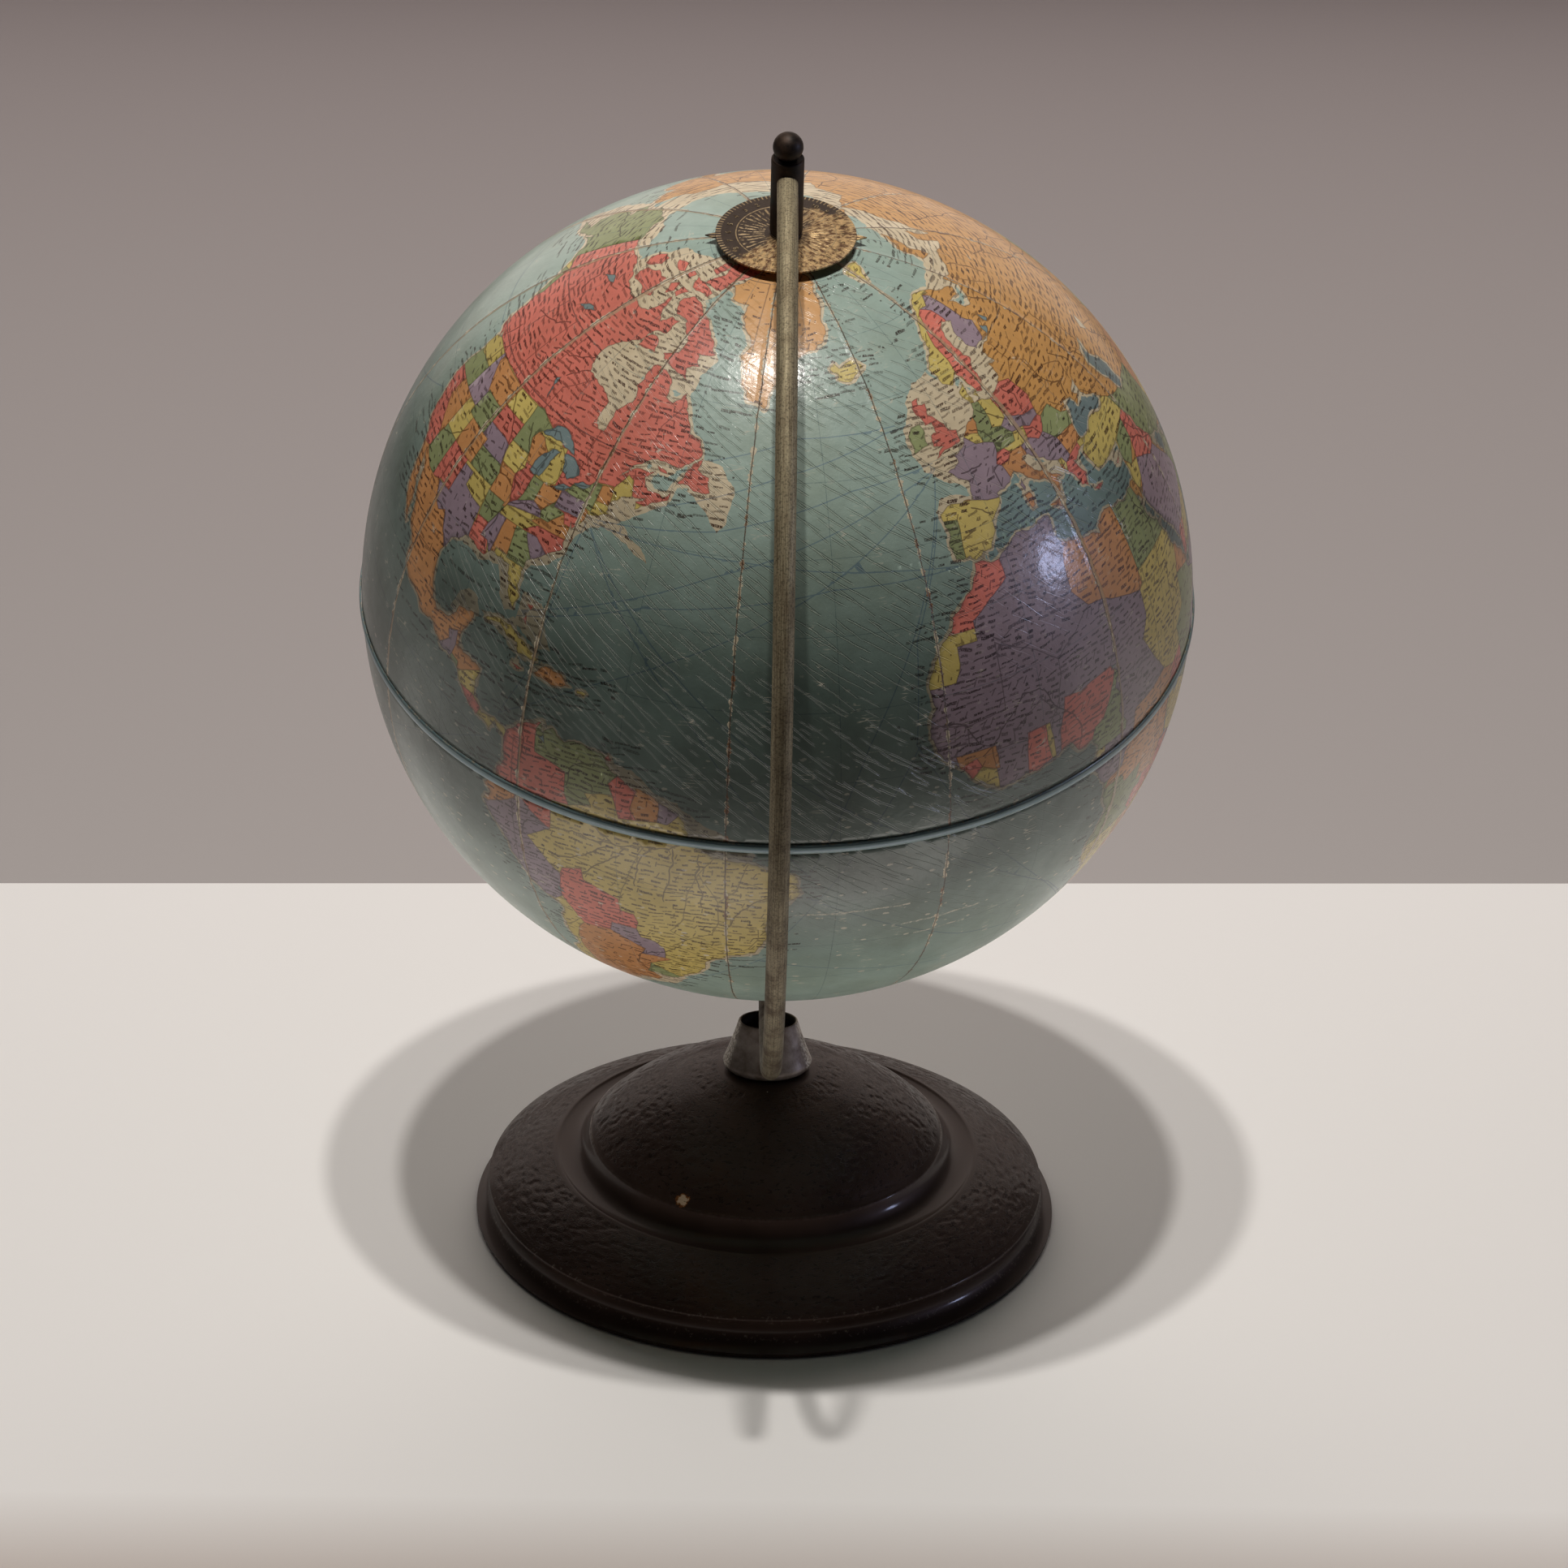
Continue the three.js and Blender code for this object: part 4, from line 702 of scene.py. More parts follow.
# %% Countries and states by continent
COUNTRIES = {"americas": """
washington/y: -125,49 -117,49 -117,46 -119,46 -122.8,45.6 -125,46.2
oregon/g: -125,46.2 -122.8,45.6 -119,46 -117,46 -117,42 -126,42
california/r: -126,42 -120,42 -120,39 -114.6,35 -114.7,32.7 -118,32 -126,38
nevada/o: -120,42 -114,42 -114,36.2 -114.6,35 -120,39
idaho/p: -117,49 -116,49 -116,48 -111,44.6 -111,42 -117,42
montana/o: -116,49 -104,49 -104,45 -111,45 -111,44.6 -116,48
wyoming/g: -111,45 -104,45 -104,41 -111,41
utah/y: -114,42 -111,42 -111,41 -109,41 -109,37 -114,37
colorado/o: -109,41 -102,41 -102,37 -109,37
arizona/g: -114,37 -109,37 -109,31.3 -111,31.3 -114.8,32.5 -114.6,35
new_mexico/r: -109,37 -103,37 -103,32 -106.6,32 -106.6,31.8 -108.2,31.3 -109,31.3
north_dakota/y: -104,49 -97,49 -96.6,46 -104,46
south_dakota/r: -104,46 -96.6,46 -96.5,42.6 -98.5,43 -104,43
nebraska/p: -104,43 -98.5,43 -96.5,42.6 -95.4,40 -102,40 -102,41 -104,41
kansas/g: -102,40 -95.4,40 -94.6,39 -94.6,37 -102,37
oklahoma/y: -103,37 -94.6,37 -94.4,33.8 -100,34.6 -100,36.5 -103,36.5
texas/p: -103,36.5 -100,36.5 -100,34.6 -94.4,33.8 -94,31 -93.8,29 -97,25 -99.5,27.5 -101.4,29.8 -103,29
 -104.5,29.6 -106.6,31.8 -103,32
minnesota/g: -97,49 -95,49.4 -89.5,48 -92.2,46.7 -92.8,45.5 -91.2,43.5 -96.5,43.5 -96.6,46
iowa/y: -96.5,43.5 -91.2,43.5 -90.2,41.8 -91.4,40.4 -95.8,40.6 -96.5,42.6
missouri/o: -95.8,40.6 -91.4,40.4 -90.5,38.8 -89.2,37 -89.7,36 -90.3,36 -90.2,36.5 -94.6,36.5 -94.6,39
 -95.4,40
arkansas/g: -94.6,36.5 -90.2,36.5 -90.3,36 -89.7,36 -91.2,33 -94,33 -94.4,35.4
louisiana/r: -94,33 -91.2,33 -91.6,31 -89.8,31 -88.5,28.5 -94,28.5
wisconsin/o: -92.8,46.7 -90.4,46.6 -87.8,45.3 -87,45.3 -87.8,42.5 -90.6,42.5 -91.2,43.5 -92.8,45.5
illinois/r: -90.6,42.5 -87.5,42.5 -87.5,39 -88,37.8 -89.2,37 -90.5,38.8 -91.4,40.4 -90.2,41.8
michigan/y: -90.4,46.6 -84,47 -82.4,43 -83.4,41.7 -87.2,41.7 -87,45.3 -87.8,45.3
indiana/g: -87.5,42 -84.8,41.7 -84.8,39 -88,37.8 -87.5,39
ohio/o: -84.8,41.7 -80.5,42.6 -80.5,40.5 -82.6,38.4 -84.8,39
kentucky/p: -89.5,36.5 -82,37.5 -82.6,38.4 -84.8,39 -88,37.8 -89.2,37
tennessee/y: -90.3,35 -84.3,35 -81.7,36.5 -89.5,36.5
mississippi/p: -91.2,33 -90.3,35 -88.2,35 -88.4,29.5 -89.8,31 -91.6,31
alabama/o: -88.2,35 -85.6,35 -85,31 -87.6,31 -87.5,29.8 -88.4,29.8
georgia/g: -85.6,35 -83.2,35 -80.5,32 -80.5,30.6 -85,30.7 -85,31
florida/y: -87.6,31 -85,30.9 -81,30.7 -79,27 -80,24 -84,28 -87.5,29.5
south_carolina/p: -83.2,35 -81,35.1 -78,33.6 -80.5,32
north_carolina/r: -84.3,35 -81.7,36.5 -75,36.5 -75,34 -78,33.6 -81,35.1
virginia/o: -83.6,36.6 -75,36.5 -75.5,38 -77.3,38.3 -78,39.5 -80.3,37.5 -82,37.5
west_virginia/g: -82.6,38.4 -80.5,40.5 -80.5,39.7 -78,39.5 -80.3,37.5 -82,37.5
maryland/r: -79.5,39.7 -75.2,39.8 -74.8,38 -77.3,38.3 -78,39.5
pennsylvania/p: -80.5,42.3 -79.8,42.2 -75.3,42 -74.7,41.4 -75.2,39.8 -80.5,39.7
new_jersey/o: -75.2,39.8 -74.7,41.4 -73.9,41 -73.5,39
new_york/g: -79.8,42.2 -79,43.5 -76.2,44 -75,45 -73.4,45 -73.5,41 -71.8,41 -74.7,41.4 -75.3,42
vermont/o: -73.4,45 -71,45.3 -70.5,42.8 -73.4,42.8
massachusetts/y: -73.4,42.8 -70.4,42.8 -69,41 -73.5,41
maine/y: -71,45.3 -69.2,47.5 -67.8,47 -66.9,44.5 -70.5,42.8
alaska/g: -170,50 -135,53 -130.3,54.5 -130,56 -135,59.7 -137.5,59 -141,60.3 -141,72 -170,72
canada/r: -141,80 -50,80 -50,43 -66.9,44.5 -67.8,47 -69.2,47.5 -71,45.3 -75,45 -76.2,44 -79,43.5 -79.2,42.6
 -82.5,41.7 -82.4,43 -82.5,45.3 -84.5,46.5 -88,48.3 -89.5,48 -95,49.2 -124,49 -134,50 -130.3,54.5 -130,56
 -135,59.7 -141,60.3
mexico/o: -117.2,32.5 -114.8,32.5 -111,31.3 -108.2,31.3 -106.6,31.8 -104.5,29.6 -103,29 -101.4,29.8
 -99.5,27.5 -97,25.9 -94,25 -86,22 -87,18 -89,17.9 -91,17.2 -90.5,16 -92.3,14.5 -96,13 -120,20
british_honduras/o: -89.1,17.9 -87,18.5 -87,15.8 -88.9,15.9
guatemala/p: -92.3,14.5 -90.5,16 -91,17.2 -89.1,17.9 -88.9,15.9 -89.3,14.4 -90,13 -93,13
salvador/g: -90,13 -89.3,14.4 -87.8,13.9 -87.8,12.7
honduras/o: -89.3,14.4 -88.9,15.9 -83,17 -83,15 -85,14 -86.8,13.1 -87.8,12.7 -87.8,13.9
nicaragua/y: -87.8,12.7 -86.8,13.1 -85,14 -82.5,15.2 -82.5,11 -84,10.9 -86,11.1
costa_rica/r: -86.5,11.2 -84,10.9 -82.3,9.7 -82.9,8 -84,7.5 -87,10
panama/y: -82.9,7.8 -82.3,9.7 -80,10.5 -77.3,8.8 -77.8,7 -80,6.5
colombia/r: -77.3,8.8 -75,12.5 -71.3,13 -72.5,11 -72.4,7.5 -70,7 -67.5,6.2 -67.5,2.8 -66.8,1.2 -69.5,1
 -69.8,-4.2 -73,-2.3 -75.3,-0.1 -78.8,1.4 -81,2 -79,6 -77.8,7
venezuela/g: -71.3,13 -59.5,11.5 -59.5,8.5 -61.2,6.5 -60.5,5 -64.5,4 -63.5,2.4 -66.8,1.2 -67.5,2.8 -67.5,6.2
 -70,7 -72.4,7.5 -72.5,11
british_guiana/r: -59.5,8.7 -57.2,6.5 -58,3.5 -57,1.9 -59.5,1.5 -60.5,5 -61.2,6.5
dutch_guiana/o: -57.2,7 -54,6.7 -54.2,2.3 -57,1.9 -58,3.5
french_guiana/p: -54,6.7 -50.8,4.6 -52.8,2.2 -54.2,2.3
ecuador/o: -81,2 -78.8,1.4 -75.3,-0.1 -75.5,-1.6 -78.3,-3.4 -80.3,-4.5 -84,-3
peru/p: -69.8,-4.2 -73,-2.3 -75.3,-0.1 -75.5,-1.6 -78.3,-3.4 -80.3,-4.5 -84,-5 -78,-18 -71,-19 -69.5,-17.5
 -69,-12.3 -70.6,-11 -73.8,-7.3
bolivia/r: -69.5,-17.5 -69,-12.3 -68.5,-11 -65.4,-9.7 -65.3,-11.8 -60.2,-13.8 -60.1,-16.3 -58.2,-16.4
 -57.7,-18.2 -58.2,-20 -62,-20 -62.6,-22.2 -67,-22.8 -68.3,-20
paraguay/p: -62.6,-22.2 -62,-20 -58.2,-20 -57.8,-22 -55.6,-22.4 -54.5,-24 -54.7,-27 -58.6,-27.3 -57.6,-25.3
uruguay/g: -57.6,-30.2 -53.2,-33.8 -53,-36 -59,-34.2
chile/y: -72,-18 -69.5,-17.5 -68.3,-20 -67,-22.8 -68.5,-25 -70,-31 -70.3,-36 -72,-44 -72.3,-51 -68.5,-52.3
 -68.6,-57 -80,-57 -78,-18
argentina/o: -67,-21.5 -62.6,-22.2 -57.6,-25.3 -58.6,-27.3 -54.7,-27 -53.8,-27.2 -57.6,-30.2 -58.4,-34
 -50,-38 -60,-58 -72,-58 -75,-30
brazil/y: -76,8 -30,8 -30,-36 -76,-36
united_states/y: -127,50 -66,50 -66,24 -127,24
""",
             "eurasia": """
portugal/g: -12,42 -8.7,42.1 -6.5,41.8 -7,38.5 -7.4,36 -12,36
spain/y: -12,45 -1.8,43.4 0.7,42.7 3.2,42.4 5,41 0,35 -7.4,36 -7,38.5 -6.5,41.8 -8.7,42.1 -12,42
belgium/y: 2.4,51.4 4.3,51.4 6,51 6.1,49.6 4.2,49.9
netherlands/o: 3,51.5 4.3,51.4 6,51 7.1,52.3 7.1,54 3,54
switzerland/r: 6.1,46.3 7.6,47.6 9.5,47.6 10.4,46.8 9,45.9 7,45.9
france/p: -6,49.5 2.4,51.4 4.2,49.9 6.1,49.6 8.2,49 7.6,47.6 6.1,46.3 7,45.9 7.6,43.3 4,42 3.2,42.4 0.7,42.7
 -1.8,43.4 -4,45
west_germany/g: 7.1,54 8.5,54.9 11,54.6 10.8,52 10,50.7 12.2,50.2 13.8,48.7 13,47.6 9.5,47.6 7.6,47.6 8.2,49
 6.1,49.6 6,51 7.1,52.3
east_germany/y: 11,54.6 14.3,54.6 14.7,51 12.2,50.2 10,50.7 10.8,52
denmark/y: 7,54.9 12,54.8 12,58.5 7,58
italy/o: 7,45.9 9,45.9 10.4,46.8 13.6,46.6 13.8,45.5 13,44.5 20,41 18.5,37 15,36.5 9,43 7.6,43.3
austria/y: 9.5,47.6 13,47.6 13.8,48.7 17,48.5 16.2,46.9 13.6,46.6 10.4,46.8
czechoslovakia/p: 12.2,50.2 14.7,51 18.8,49.6 22.6,49.2 22.2,48.3 18.5,47.9 17,48.5 13.8,48.7
hungary/r: 16.2,46.9 17,48.5 18.5,47.9 22.2,48.3 22.8,47.8 20.5,46.2 18.5,45.8
poland/r: 14.3,54.6 18.5,55.2 23,54.3 24,51 22.6,49.2 18.8,49.6 14.7,51
albania/y: 19,42 20.6,41.9 20.9,40.9 20,39.6 18.5,40
yugoslavia/p: 13,45.3 13.6,46.6 16.2,46.9 18.5,45.8 20.5,46.2 22.6,44.2 22.8,42.5 22.9,41.3 20.9,40.9
 20.6,41.9 19,42 13.5,43.5
greece/r: 19,39.7 20,39.6 20.9,40.9 22.9,41.3 26.4,41.7 26.3,40.3 27,36 20,35
bulgaria/o: 22.6,44.2 29,43.8 29,42 26.4,41.7 22.9,41.3 22.8,42.5
romania/g: 20.5,46.2 22.8,47.8 26.6,48.2 28.2,46 30.5,45.3 29,43.8 22.6,44.2
turkey/y: 26.4,41.7 28,42.5 41.5,41.7 43.8,40.2 44.6,37.3 42.3,37.2 36.5,36.6 36,35.5 25,35.5 26.3,40.3
norway/y: 3,60 8,57 11,59 12.2,61 12.2,63.8 14.2,66 18,68.5 20.5,69 24,68.7 28,70 31,69.7 33,72 3,72
sweden/r: 11,59 12.2,61 12.2,63.8 14.2,66 18,68.5 20.5,69 23.7,67.8 24.1,65.7 21,64 19,60 20,57 13,55 11,57
finland/p: 20.5,69 24,68.7 28,70 29.5,69.5 30,67.5 29.5,64 31.3,62.8 28,60.4 22,59 20.3,62 24.1,65.7
 23.7,67.8
soviet_union/u: 28,70 31,69.7 33,72 60,80 195,80 195,50 145,45 135,43 130.7,42.4 131,45 135,48.3 130.5,48.8
 127.5,49.8 120.5,53.2 116.5,49.7 108,49.3 98,50.5 87.5,49.1 82.5,45.3 80,42 74,39.5 74.8,37.3 71,38.2
 66.5,37.4 61,35.5 54,37.3 48.8,38.4 43.8,40.2 41.5,41.7 38,45 30.5,45.3 28.2,46 26.6,48.2 22.2,48.3
 22.6,49.2 24,51 23,54.3 18.5,55.2 19,59.5 28,60.4 31.3,62.8 29.5,64 30,67.5
syria/g: 35.5,36.7 42.3,37.2 41,34.4 36.5,32.5 35.8,33.2 35,34
iraq/r: 42.3,37.2 44.6,37.3 46,35 45.6,33.5 48.5,30 47.5,29.1 44.5,29.2 39,32.1 41,34.4
jordan/y: 34,31.3 35.2,33.6 36.5,32.5 39,32.1 37,30 35,29.2
yemen/r: 42,16.4 43.5,17.4 46.5,17 45,12 42.5,12
aden/y: 45,12 46.5,17 52,19 53,16 50,13
oman/g: 55,26.8 61,23 56,16 53,16 52,19 55,20 52,24
arabia/p: 34,28 37,30 39,32.1 44.5,29.2 47.5,29.1 52,24 55,20 52,19 46.5,17 43.5,17.4 42,16.4 36,22
iran/g: 43.8,40.2 48.8,38.4 54,37.3 61,36.6 60.6,33.7 61,31.3 61.6,29.5 63,27 61.6,24.5 57,26.3 52,26.5
 48.5,30 45.6,33.5 46,35 44.6,37.3
afghanistan/o: 61,35.5 66.5,37.4 71,38.2 74.8,37.3 71.5,34.5 69.5,33.5 66.5,30 61.6,29.5 61,31.3 60.6,33.7
pakistan/y: 61.6,24.5 63,27 61.6,29.5 66.5,30 69.5,33.5 71.5,34.5 74.8,37.3 77,35.5 74.5,33 74.4,31 70,27.8
 71,24.5 67,22
nepal/p: 80.2,30.3 88,27.9 88,26.4 80.1,28.8
burma/g: 92.3,20 92.3,22 94.5,24 96,27 97.4,28.5 98.7,27.5 97.6,24 101,21.6 97.5,18.5 98.5,15 99.5,10 95,12
india/r: 74.5,33 77,35.5 79,32.5 81,30.3 88,27.9 97.4,28.5 96,27 94.5,24 92.3,22 92.3,20 80,5 72,7 67,22
 71,24.5 70,27.8 74.4,31
thailand/y: 97.5,18.5 100.3,20.3 101.2,17.5 104.7,17.5 105.5,14.5 102.5,13.8 102.5,11 101,12 100.8,7 99,6.5
 97.5,8 99.5,10 98.5,15
indochina/p: 100.3,20.3 101,21.6 102,22.5 105.5,23.3 108.2,21.5 112,15 108,8 104,8 102.5,11 102.5,13.8
 105.5,14.5 104.7,17.5 101.2,17.5
malaya/r: 99,6.5 102.5,6.5 106,1 102,0 98,4
mongolia/y: 87.5,49.1 98,50.5 108,49.3 116.5,49.7 119.5,46.7 111.5,43.5 105,41.7 96.5,42.8 91,46.5
korea/r: 124.2,39.9 128,42 130.7,42.4 132,38 130,34 125,33
china/g: 74,39.5 80,42 82.5,45.3 87.5,49.1 120.5,53.2 127.5,49.8 130.5,48.8 135,48.3 131,45 130.7,42.4
 124,38 124,30 118,20 108.2,21.5 105.5,23.3 102,22.5 97.6,24 98.7,27.5 88,27.9 81,30.3 79,32.5 77,35.5
 74.8,37.3
""",
             "africa": """
morocco/r: -4,37 -1.5,36 -1.3,32.5 -8.7,28.7 -8.7,27.7 -15,27.7 -12,34
rio_de_oro/y: -15,27.7 -8.7,27.7 -8.7,26 -12,26 -12,23.4 -13,21.3 -19,21 -19,26
libya/o: 11.5,34 10,30.5 9.5,26.5 12,23.5 15,23 24,19.5 25,20 25,33 20,35
egypt/g: 25,33 25,22 38,22 34.5,28.5 34.5,32
sudan/y: 24,20 24,15.7 22,13 24.5,8.7 27.3,5 30.8,3.5 34,4.5 33,8 36.5,9.5 36.5,14.4 38.6,19 38,22 25,22
eritrea/o: 36.5,14.4 38.6,19 43.5,12.5 42.3,12.4
ethiopia/g: 36.5,9.5 36.5,14.4 42.3,12.4 43,11 48,8 45,5 42,4 36,4.5 34,4.5 33,8
somaliland/p: 43,12.5 43,11 48,8 45,5 42,4 41,2 41.3,-2 46,-3 54,10 52,13
uganda/r: 30.8,3.5 34,4.5 35,1.5 34,-1 29.6,-1.4 29.5,1
kenya/g: 34,4.5 36,4.5 42,4 41,2 41.3,-2 39.5,-4.8 34,-1 35,1.5
tanganyika/y: 29.6,-1.4 34,-1 39.5,-4.8 41,-8 41,-10.6 34.9,-11.5 33,-9.4 30.7,-8.3 29.3,-4.4
belgian_congo/o: 18.5,4 22.5,4.2 27.3,5 30.8,3.5 29.5,1 29.3,-4.4 30.7,-8.3 28.7,-8.5 28.5,-12 29.8,-13.4
 27,-12 24,-11 22,-11 21.8,-7.3 17.5,-8 16.5,-5.9 12.2,-6 13,-4.6 16,-4 16.2,-2 18,0
angola/g: 10,-5 13,-4.6 12.2,-6 16.5,-5.9 17.5,-8 21.8,-7.3 22,-11 24,-11 24,-13 22,-13 22,-16.2 23.5,-17.6
 18.5,-17.4 10,-17.3
northern_rhodesia/r: 24,-11 27,-12 29.8,-13.4 28.5,-12 28.7,-8.5 33,-9.4 33,-14 30.3,-15.6 27,-18 23.5,-17.6
 22,-16.2 22,-13 24,-13
southern_rhodesia/y: 25.2,-17.8 27,-18 30.3,-15.6 33,-16.5 32.5,-21.5 31.3,-22.4 29.2,-22.2 27,-20.5
mozambique/g: 42,-10.6 34.9,-11.5 34.5,-14.6 33,-14 30.3,-15.6 33,-16.5 32.5,-21.5 31.3,-22.4 32,-26.8
 36,-27
southwest_africa/y: 10,-17.3 18.5,-17.4 25,-17.8 21,-18.3 21,-22 20,-22 20,-28.4 13,-28.6
bechuanaland/o: 21,-18.3 25.2,-17.8 27,-20.5 29.2,-22.2 26.5,-24.5 22,-26.5 20.7,-26.8 20,-22 21,-22
south_africa/r: 13,-28.6 20,-28.4 20.7,-26.8 22,-26.5 26.5,-24.5 29.2,-22.2 31.3,-22.4 32,-26.8 36,-27
 28,-37 15,-37
nigeria/r: 2.7,5 2.7,9 3.7,11.8 4,13.5 7,13 13.5,13.6 14.3,12.8 12.5,9 11,6.8 9.2,6.3 8.5,4 5,3
cameroon/g: 8.5,4 9.2,6.3 11,6.8 12.5,9 14.3,12.8 15,12 14,10 15.5,8 14.5,6 16.2,3.5 16,2.2 9,2.2
rio_muni/y: 9,2.2 11.3,2.2 11.3,1 9,1
togo/y: 0.2,11 1,11 1.8,5.5 1.1,5.5 0.5,8
gold_coast/r: -3,4 -2.8,11 0.2,11 0.5,8 1.1,5.5
liberia/y: -12,6.8 -10.2,8.5 -8,7.5 -7.5,3.5
sierra_leone/r: -14,9 -11,10 -10.2,8.5 -12,6.5
portuguese_guinea/p: -17.5,12.4 -13.7,12.7 -13.8,11.5 -15.5,10.5
gambia/p: -18,13.7 -14,13.8 -14,13.3 -18,13
guinea/o: -14,11 -8,11 -7.5,7.5 -8.5,7.5 -10.5,8.5 -13.5,9
french_africa/p: -20,38 26,38 26,-8 -20,-8
"""}

# %% Pale shallows and blue seas
SHALLOWS = """
hudson_bay: -95.5,64 -78,64 -76,55 -79,50.5 -83,50.5 -96,57
arctic_islands: -126,70 -126,77 -100,81 -88,83 -62,83.5 -76,78 -81,73.5 -70,70.5 -60,66 -64,60 -72,60 -80,63.5
 -85,66 -96,67 -115,67
siberian_shore: 30,68 33,70 50,71.5 56,75.5 75,78 100,79.5 130,77 150,76 170,73.5 190,72 201,71 201,67 160,68
 130,70 100,74 80,70 60,67 45,66
alaskan_shore: -170,66 -163,71 -150,72.5 -135,71.5 -135,68 -155,69 -164,60 -155,56.5 -166,53 -170,60
grand_banks: -57,47.5 -54,46 -51.5,44 -50,42.8 -48.5,44.5 -48,49 -51,51.5 -55,52
torn_streak: -74,40.8 -71.5,41.8 -66.5,41 -62.5,39 -60.8,37.2 -64,38.3 -68.5,39.8
british_seas: -10.5,55 -10.5,52 -9.5,49 -6.5,47.3 -3,45.8 -1.5,44 -0.5,46 3,49.5 6,52 8.5,53.5 9.5,57 6.5,59
 3.5,61.5 -2.5,60.8 -7,58.5
adriatic: 12.5,45.5 19,42 18.5,40.3 14,42.5 12.3,44.5
cantabrian_shore: -10,43.5 -8,45.2 -4,44.7 -1.5,44 -2,43 -9,42.5
baltic: 10,54 14,53.5 20,54 22,57 24,58 30,59.3 30,61 22,60.3 21,62.5 26,66 21,66 16.5,62 17.5,59.5
 16,56.5 12,56.5
new_england: -82,29 -80,31.5 -75,34.7 -73,38.8 -69,40.3 -65.5,42.5 -60,45 -60,47 -71,45 -78,38
bahama_bank: -79.5,28 -76,27.5 -72.5,22 -75,21.5 -79.5,23.5
cuban_shore: -86,22.5 -80,24.2 -74,21 -76,19.2 -82,21.3
gulf_shelf: -98,30.5 -94,28.4 -90,28 -85.8,29.2 -83.8,26 -82,24.3 -80.5,25 -82,32 -96,31
yucatan_shelf: -92,20 -91,23 -89.5,24 -87.3,23.7 -86,21.5 -88,20.5
amazon_mouth: -52,6 -46,2.2 -41,-1.2 -42,-4 -52,-2
guiana_shore: -63,11 -58,9.5 -51.5,6 -49.5,2 -52,3 -62,8
plate: -60,-33 -52,-34 -56,-39 -63,-43 -66,-40
"""
BLUE_SEAS = """
mediterranean: -5.5,36 0,44 10,45 14,46 20,42 27,41 36,37 36,31 20,30 10,33
red_sea: 32,30 36,28 44,13 42,12 36,20 32,28
persian_gulf: 47,30 52,28 57,26 52,24 48,27
"""

# %% Borders inside one ink, rivers and steamer routes
INNER_BORDERS = """
yukon: -124,60 -129,64 -136.5,68.9
sixtieth: -139.5,60 -94.8,60
rockies: -120,60 -120,54 -114.2,49
alberta: -110,60 -110,49
saskatchewan: -102,60 -101.4,49
manitoba: -95.2,49.4 -95.2,53 -89,56.9
ontario: -79.5,51.4 -79.5,47.5 -77,45.6 -74.6,45.2
labrador: -64.6,60.3 -64,58 -67,55 -67,53 -63.5,52 -57.5,51.5
new_brunswick: -69,47.4 -66.5,48
nova_scotia: -64.3,45.9 -63.8,46.1
amazonas: -70,-9 -66.5,-8 -62,-8.8 -58.5,-8.7 -56,-2.5 -58.9,1.3
para: -58.5,-8.7 -50.2,-9.8 -48.6,-5.5 -46,-1
maranhao: -48.6,-5.5 -46,-10.5 -43.5,-8 -42,-3
goias: -50.2,-9.8 -51,-15.5 -53,-18.5 -50.5,-20 -47,-18 -46,-15 -46,-10.5
bahia: -46,-10.5 -42,-9.5 -38,-9
minas: -46,-15 -40.5,-16 -40.5,-18 -42,-21 -45,-22.8 -50.5,-20
sao_paulo: -53,-22.5 -50.5,-20 -53,-18.5
parana: -53,-22.5 -49.5,-24 -48,-25.2
santa_catarina: -53.7,-26.5 -48.7,-26.2
rio_grande: -53.7,-27.2 -49.8,-29
mato_grosso: -60,-14 -58.5,-8.7
pernambuco: -42,-6.5 -38,-7.5 -35,-7.5
ukraine: 38,47.2 40,49.5 35,51.5 31,52 24,51.8
white_russia: 31,52 32,54 28,56 23.5,54
baltic: 28,59.3 27.5,57.5 28,56
moldavia: 30,46.3 27.5,48.2
kazakh: 49,46.5 47,49 51,51.3 60,51 62,54 71,54.2 77,54 83,51 87,49.3
turkmen: 54,42 58,42 62,41 66,37.5
uzbek: 58,45.5 66,41.5 71,42 74,39.6
yakut: 105,77 107,65 120,60 133,60 142,63 160,65 160,69.7
komi: 47,67 53,61 60,62 66,68
georgia: 40,43.5 48,42
sinkiang: 96,42.5 92,38.5 80,36
tibet: 80,36 92,35 98,33 98.5,28
manchuria: 120,40 118,42 120,46
szechwan: 98,33 104,34 110,32 109,28 104,26 101,26.3
kwangtung: 105,24 112,25 117,24
shansi: 110,40 110,35 115,34 119,35
yangtse: 110,32 116,33 121,32
tunisia: 8.5,37 8,34 10,30.5
french_west: 0,27 -5,25 -8.7,27
mauretania: -6,25 -6,15.5 -12,15 -16.5,16.2
senegal: -12,15 -12,12.5 -14,12.7
guinea: -12,12.5 -8.5,11 -8,7.5
ivory_coast: -8,10.3 -5,10.3 -2.8,9.8
upper_volta: -5,10.3 -5,12 0,15 2.5,12.5
niger: 4,17 4,19.2 12,23.5
niger_low: 2.5,12.5 4,17
french_sudan: -6,25 4,19.2
tchad: 15,23 15.5,17 13.5,13.6
ubangi: 15.5,7.6 19,9 22,11
gabon: 11.3,2.2 14,1.5 14,-2 11.5,-3
dahomey: 1,11 2.5,12.5
western_australia: 129,-14.9 129,-31.6
northern_territory: 129,-26 141,-26 141,-38
queensland: 138,-16.3 138,-26
new_south_wales: 141,-29 149,-29 153.5,-28.2
victoria_state: 141,-34 147,-36 150,-37.4
dutch_new_guinea: 141,-2.7 141,-9.1
sarawak: 109.6,2 112,1.2 115.5,3 118,4.2
haiti: -71.8,19.8 -71.8,17.8
antarctic_a: -45,-90 -45,-78
"""
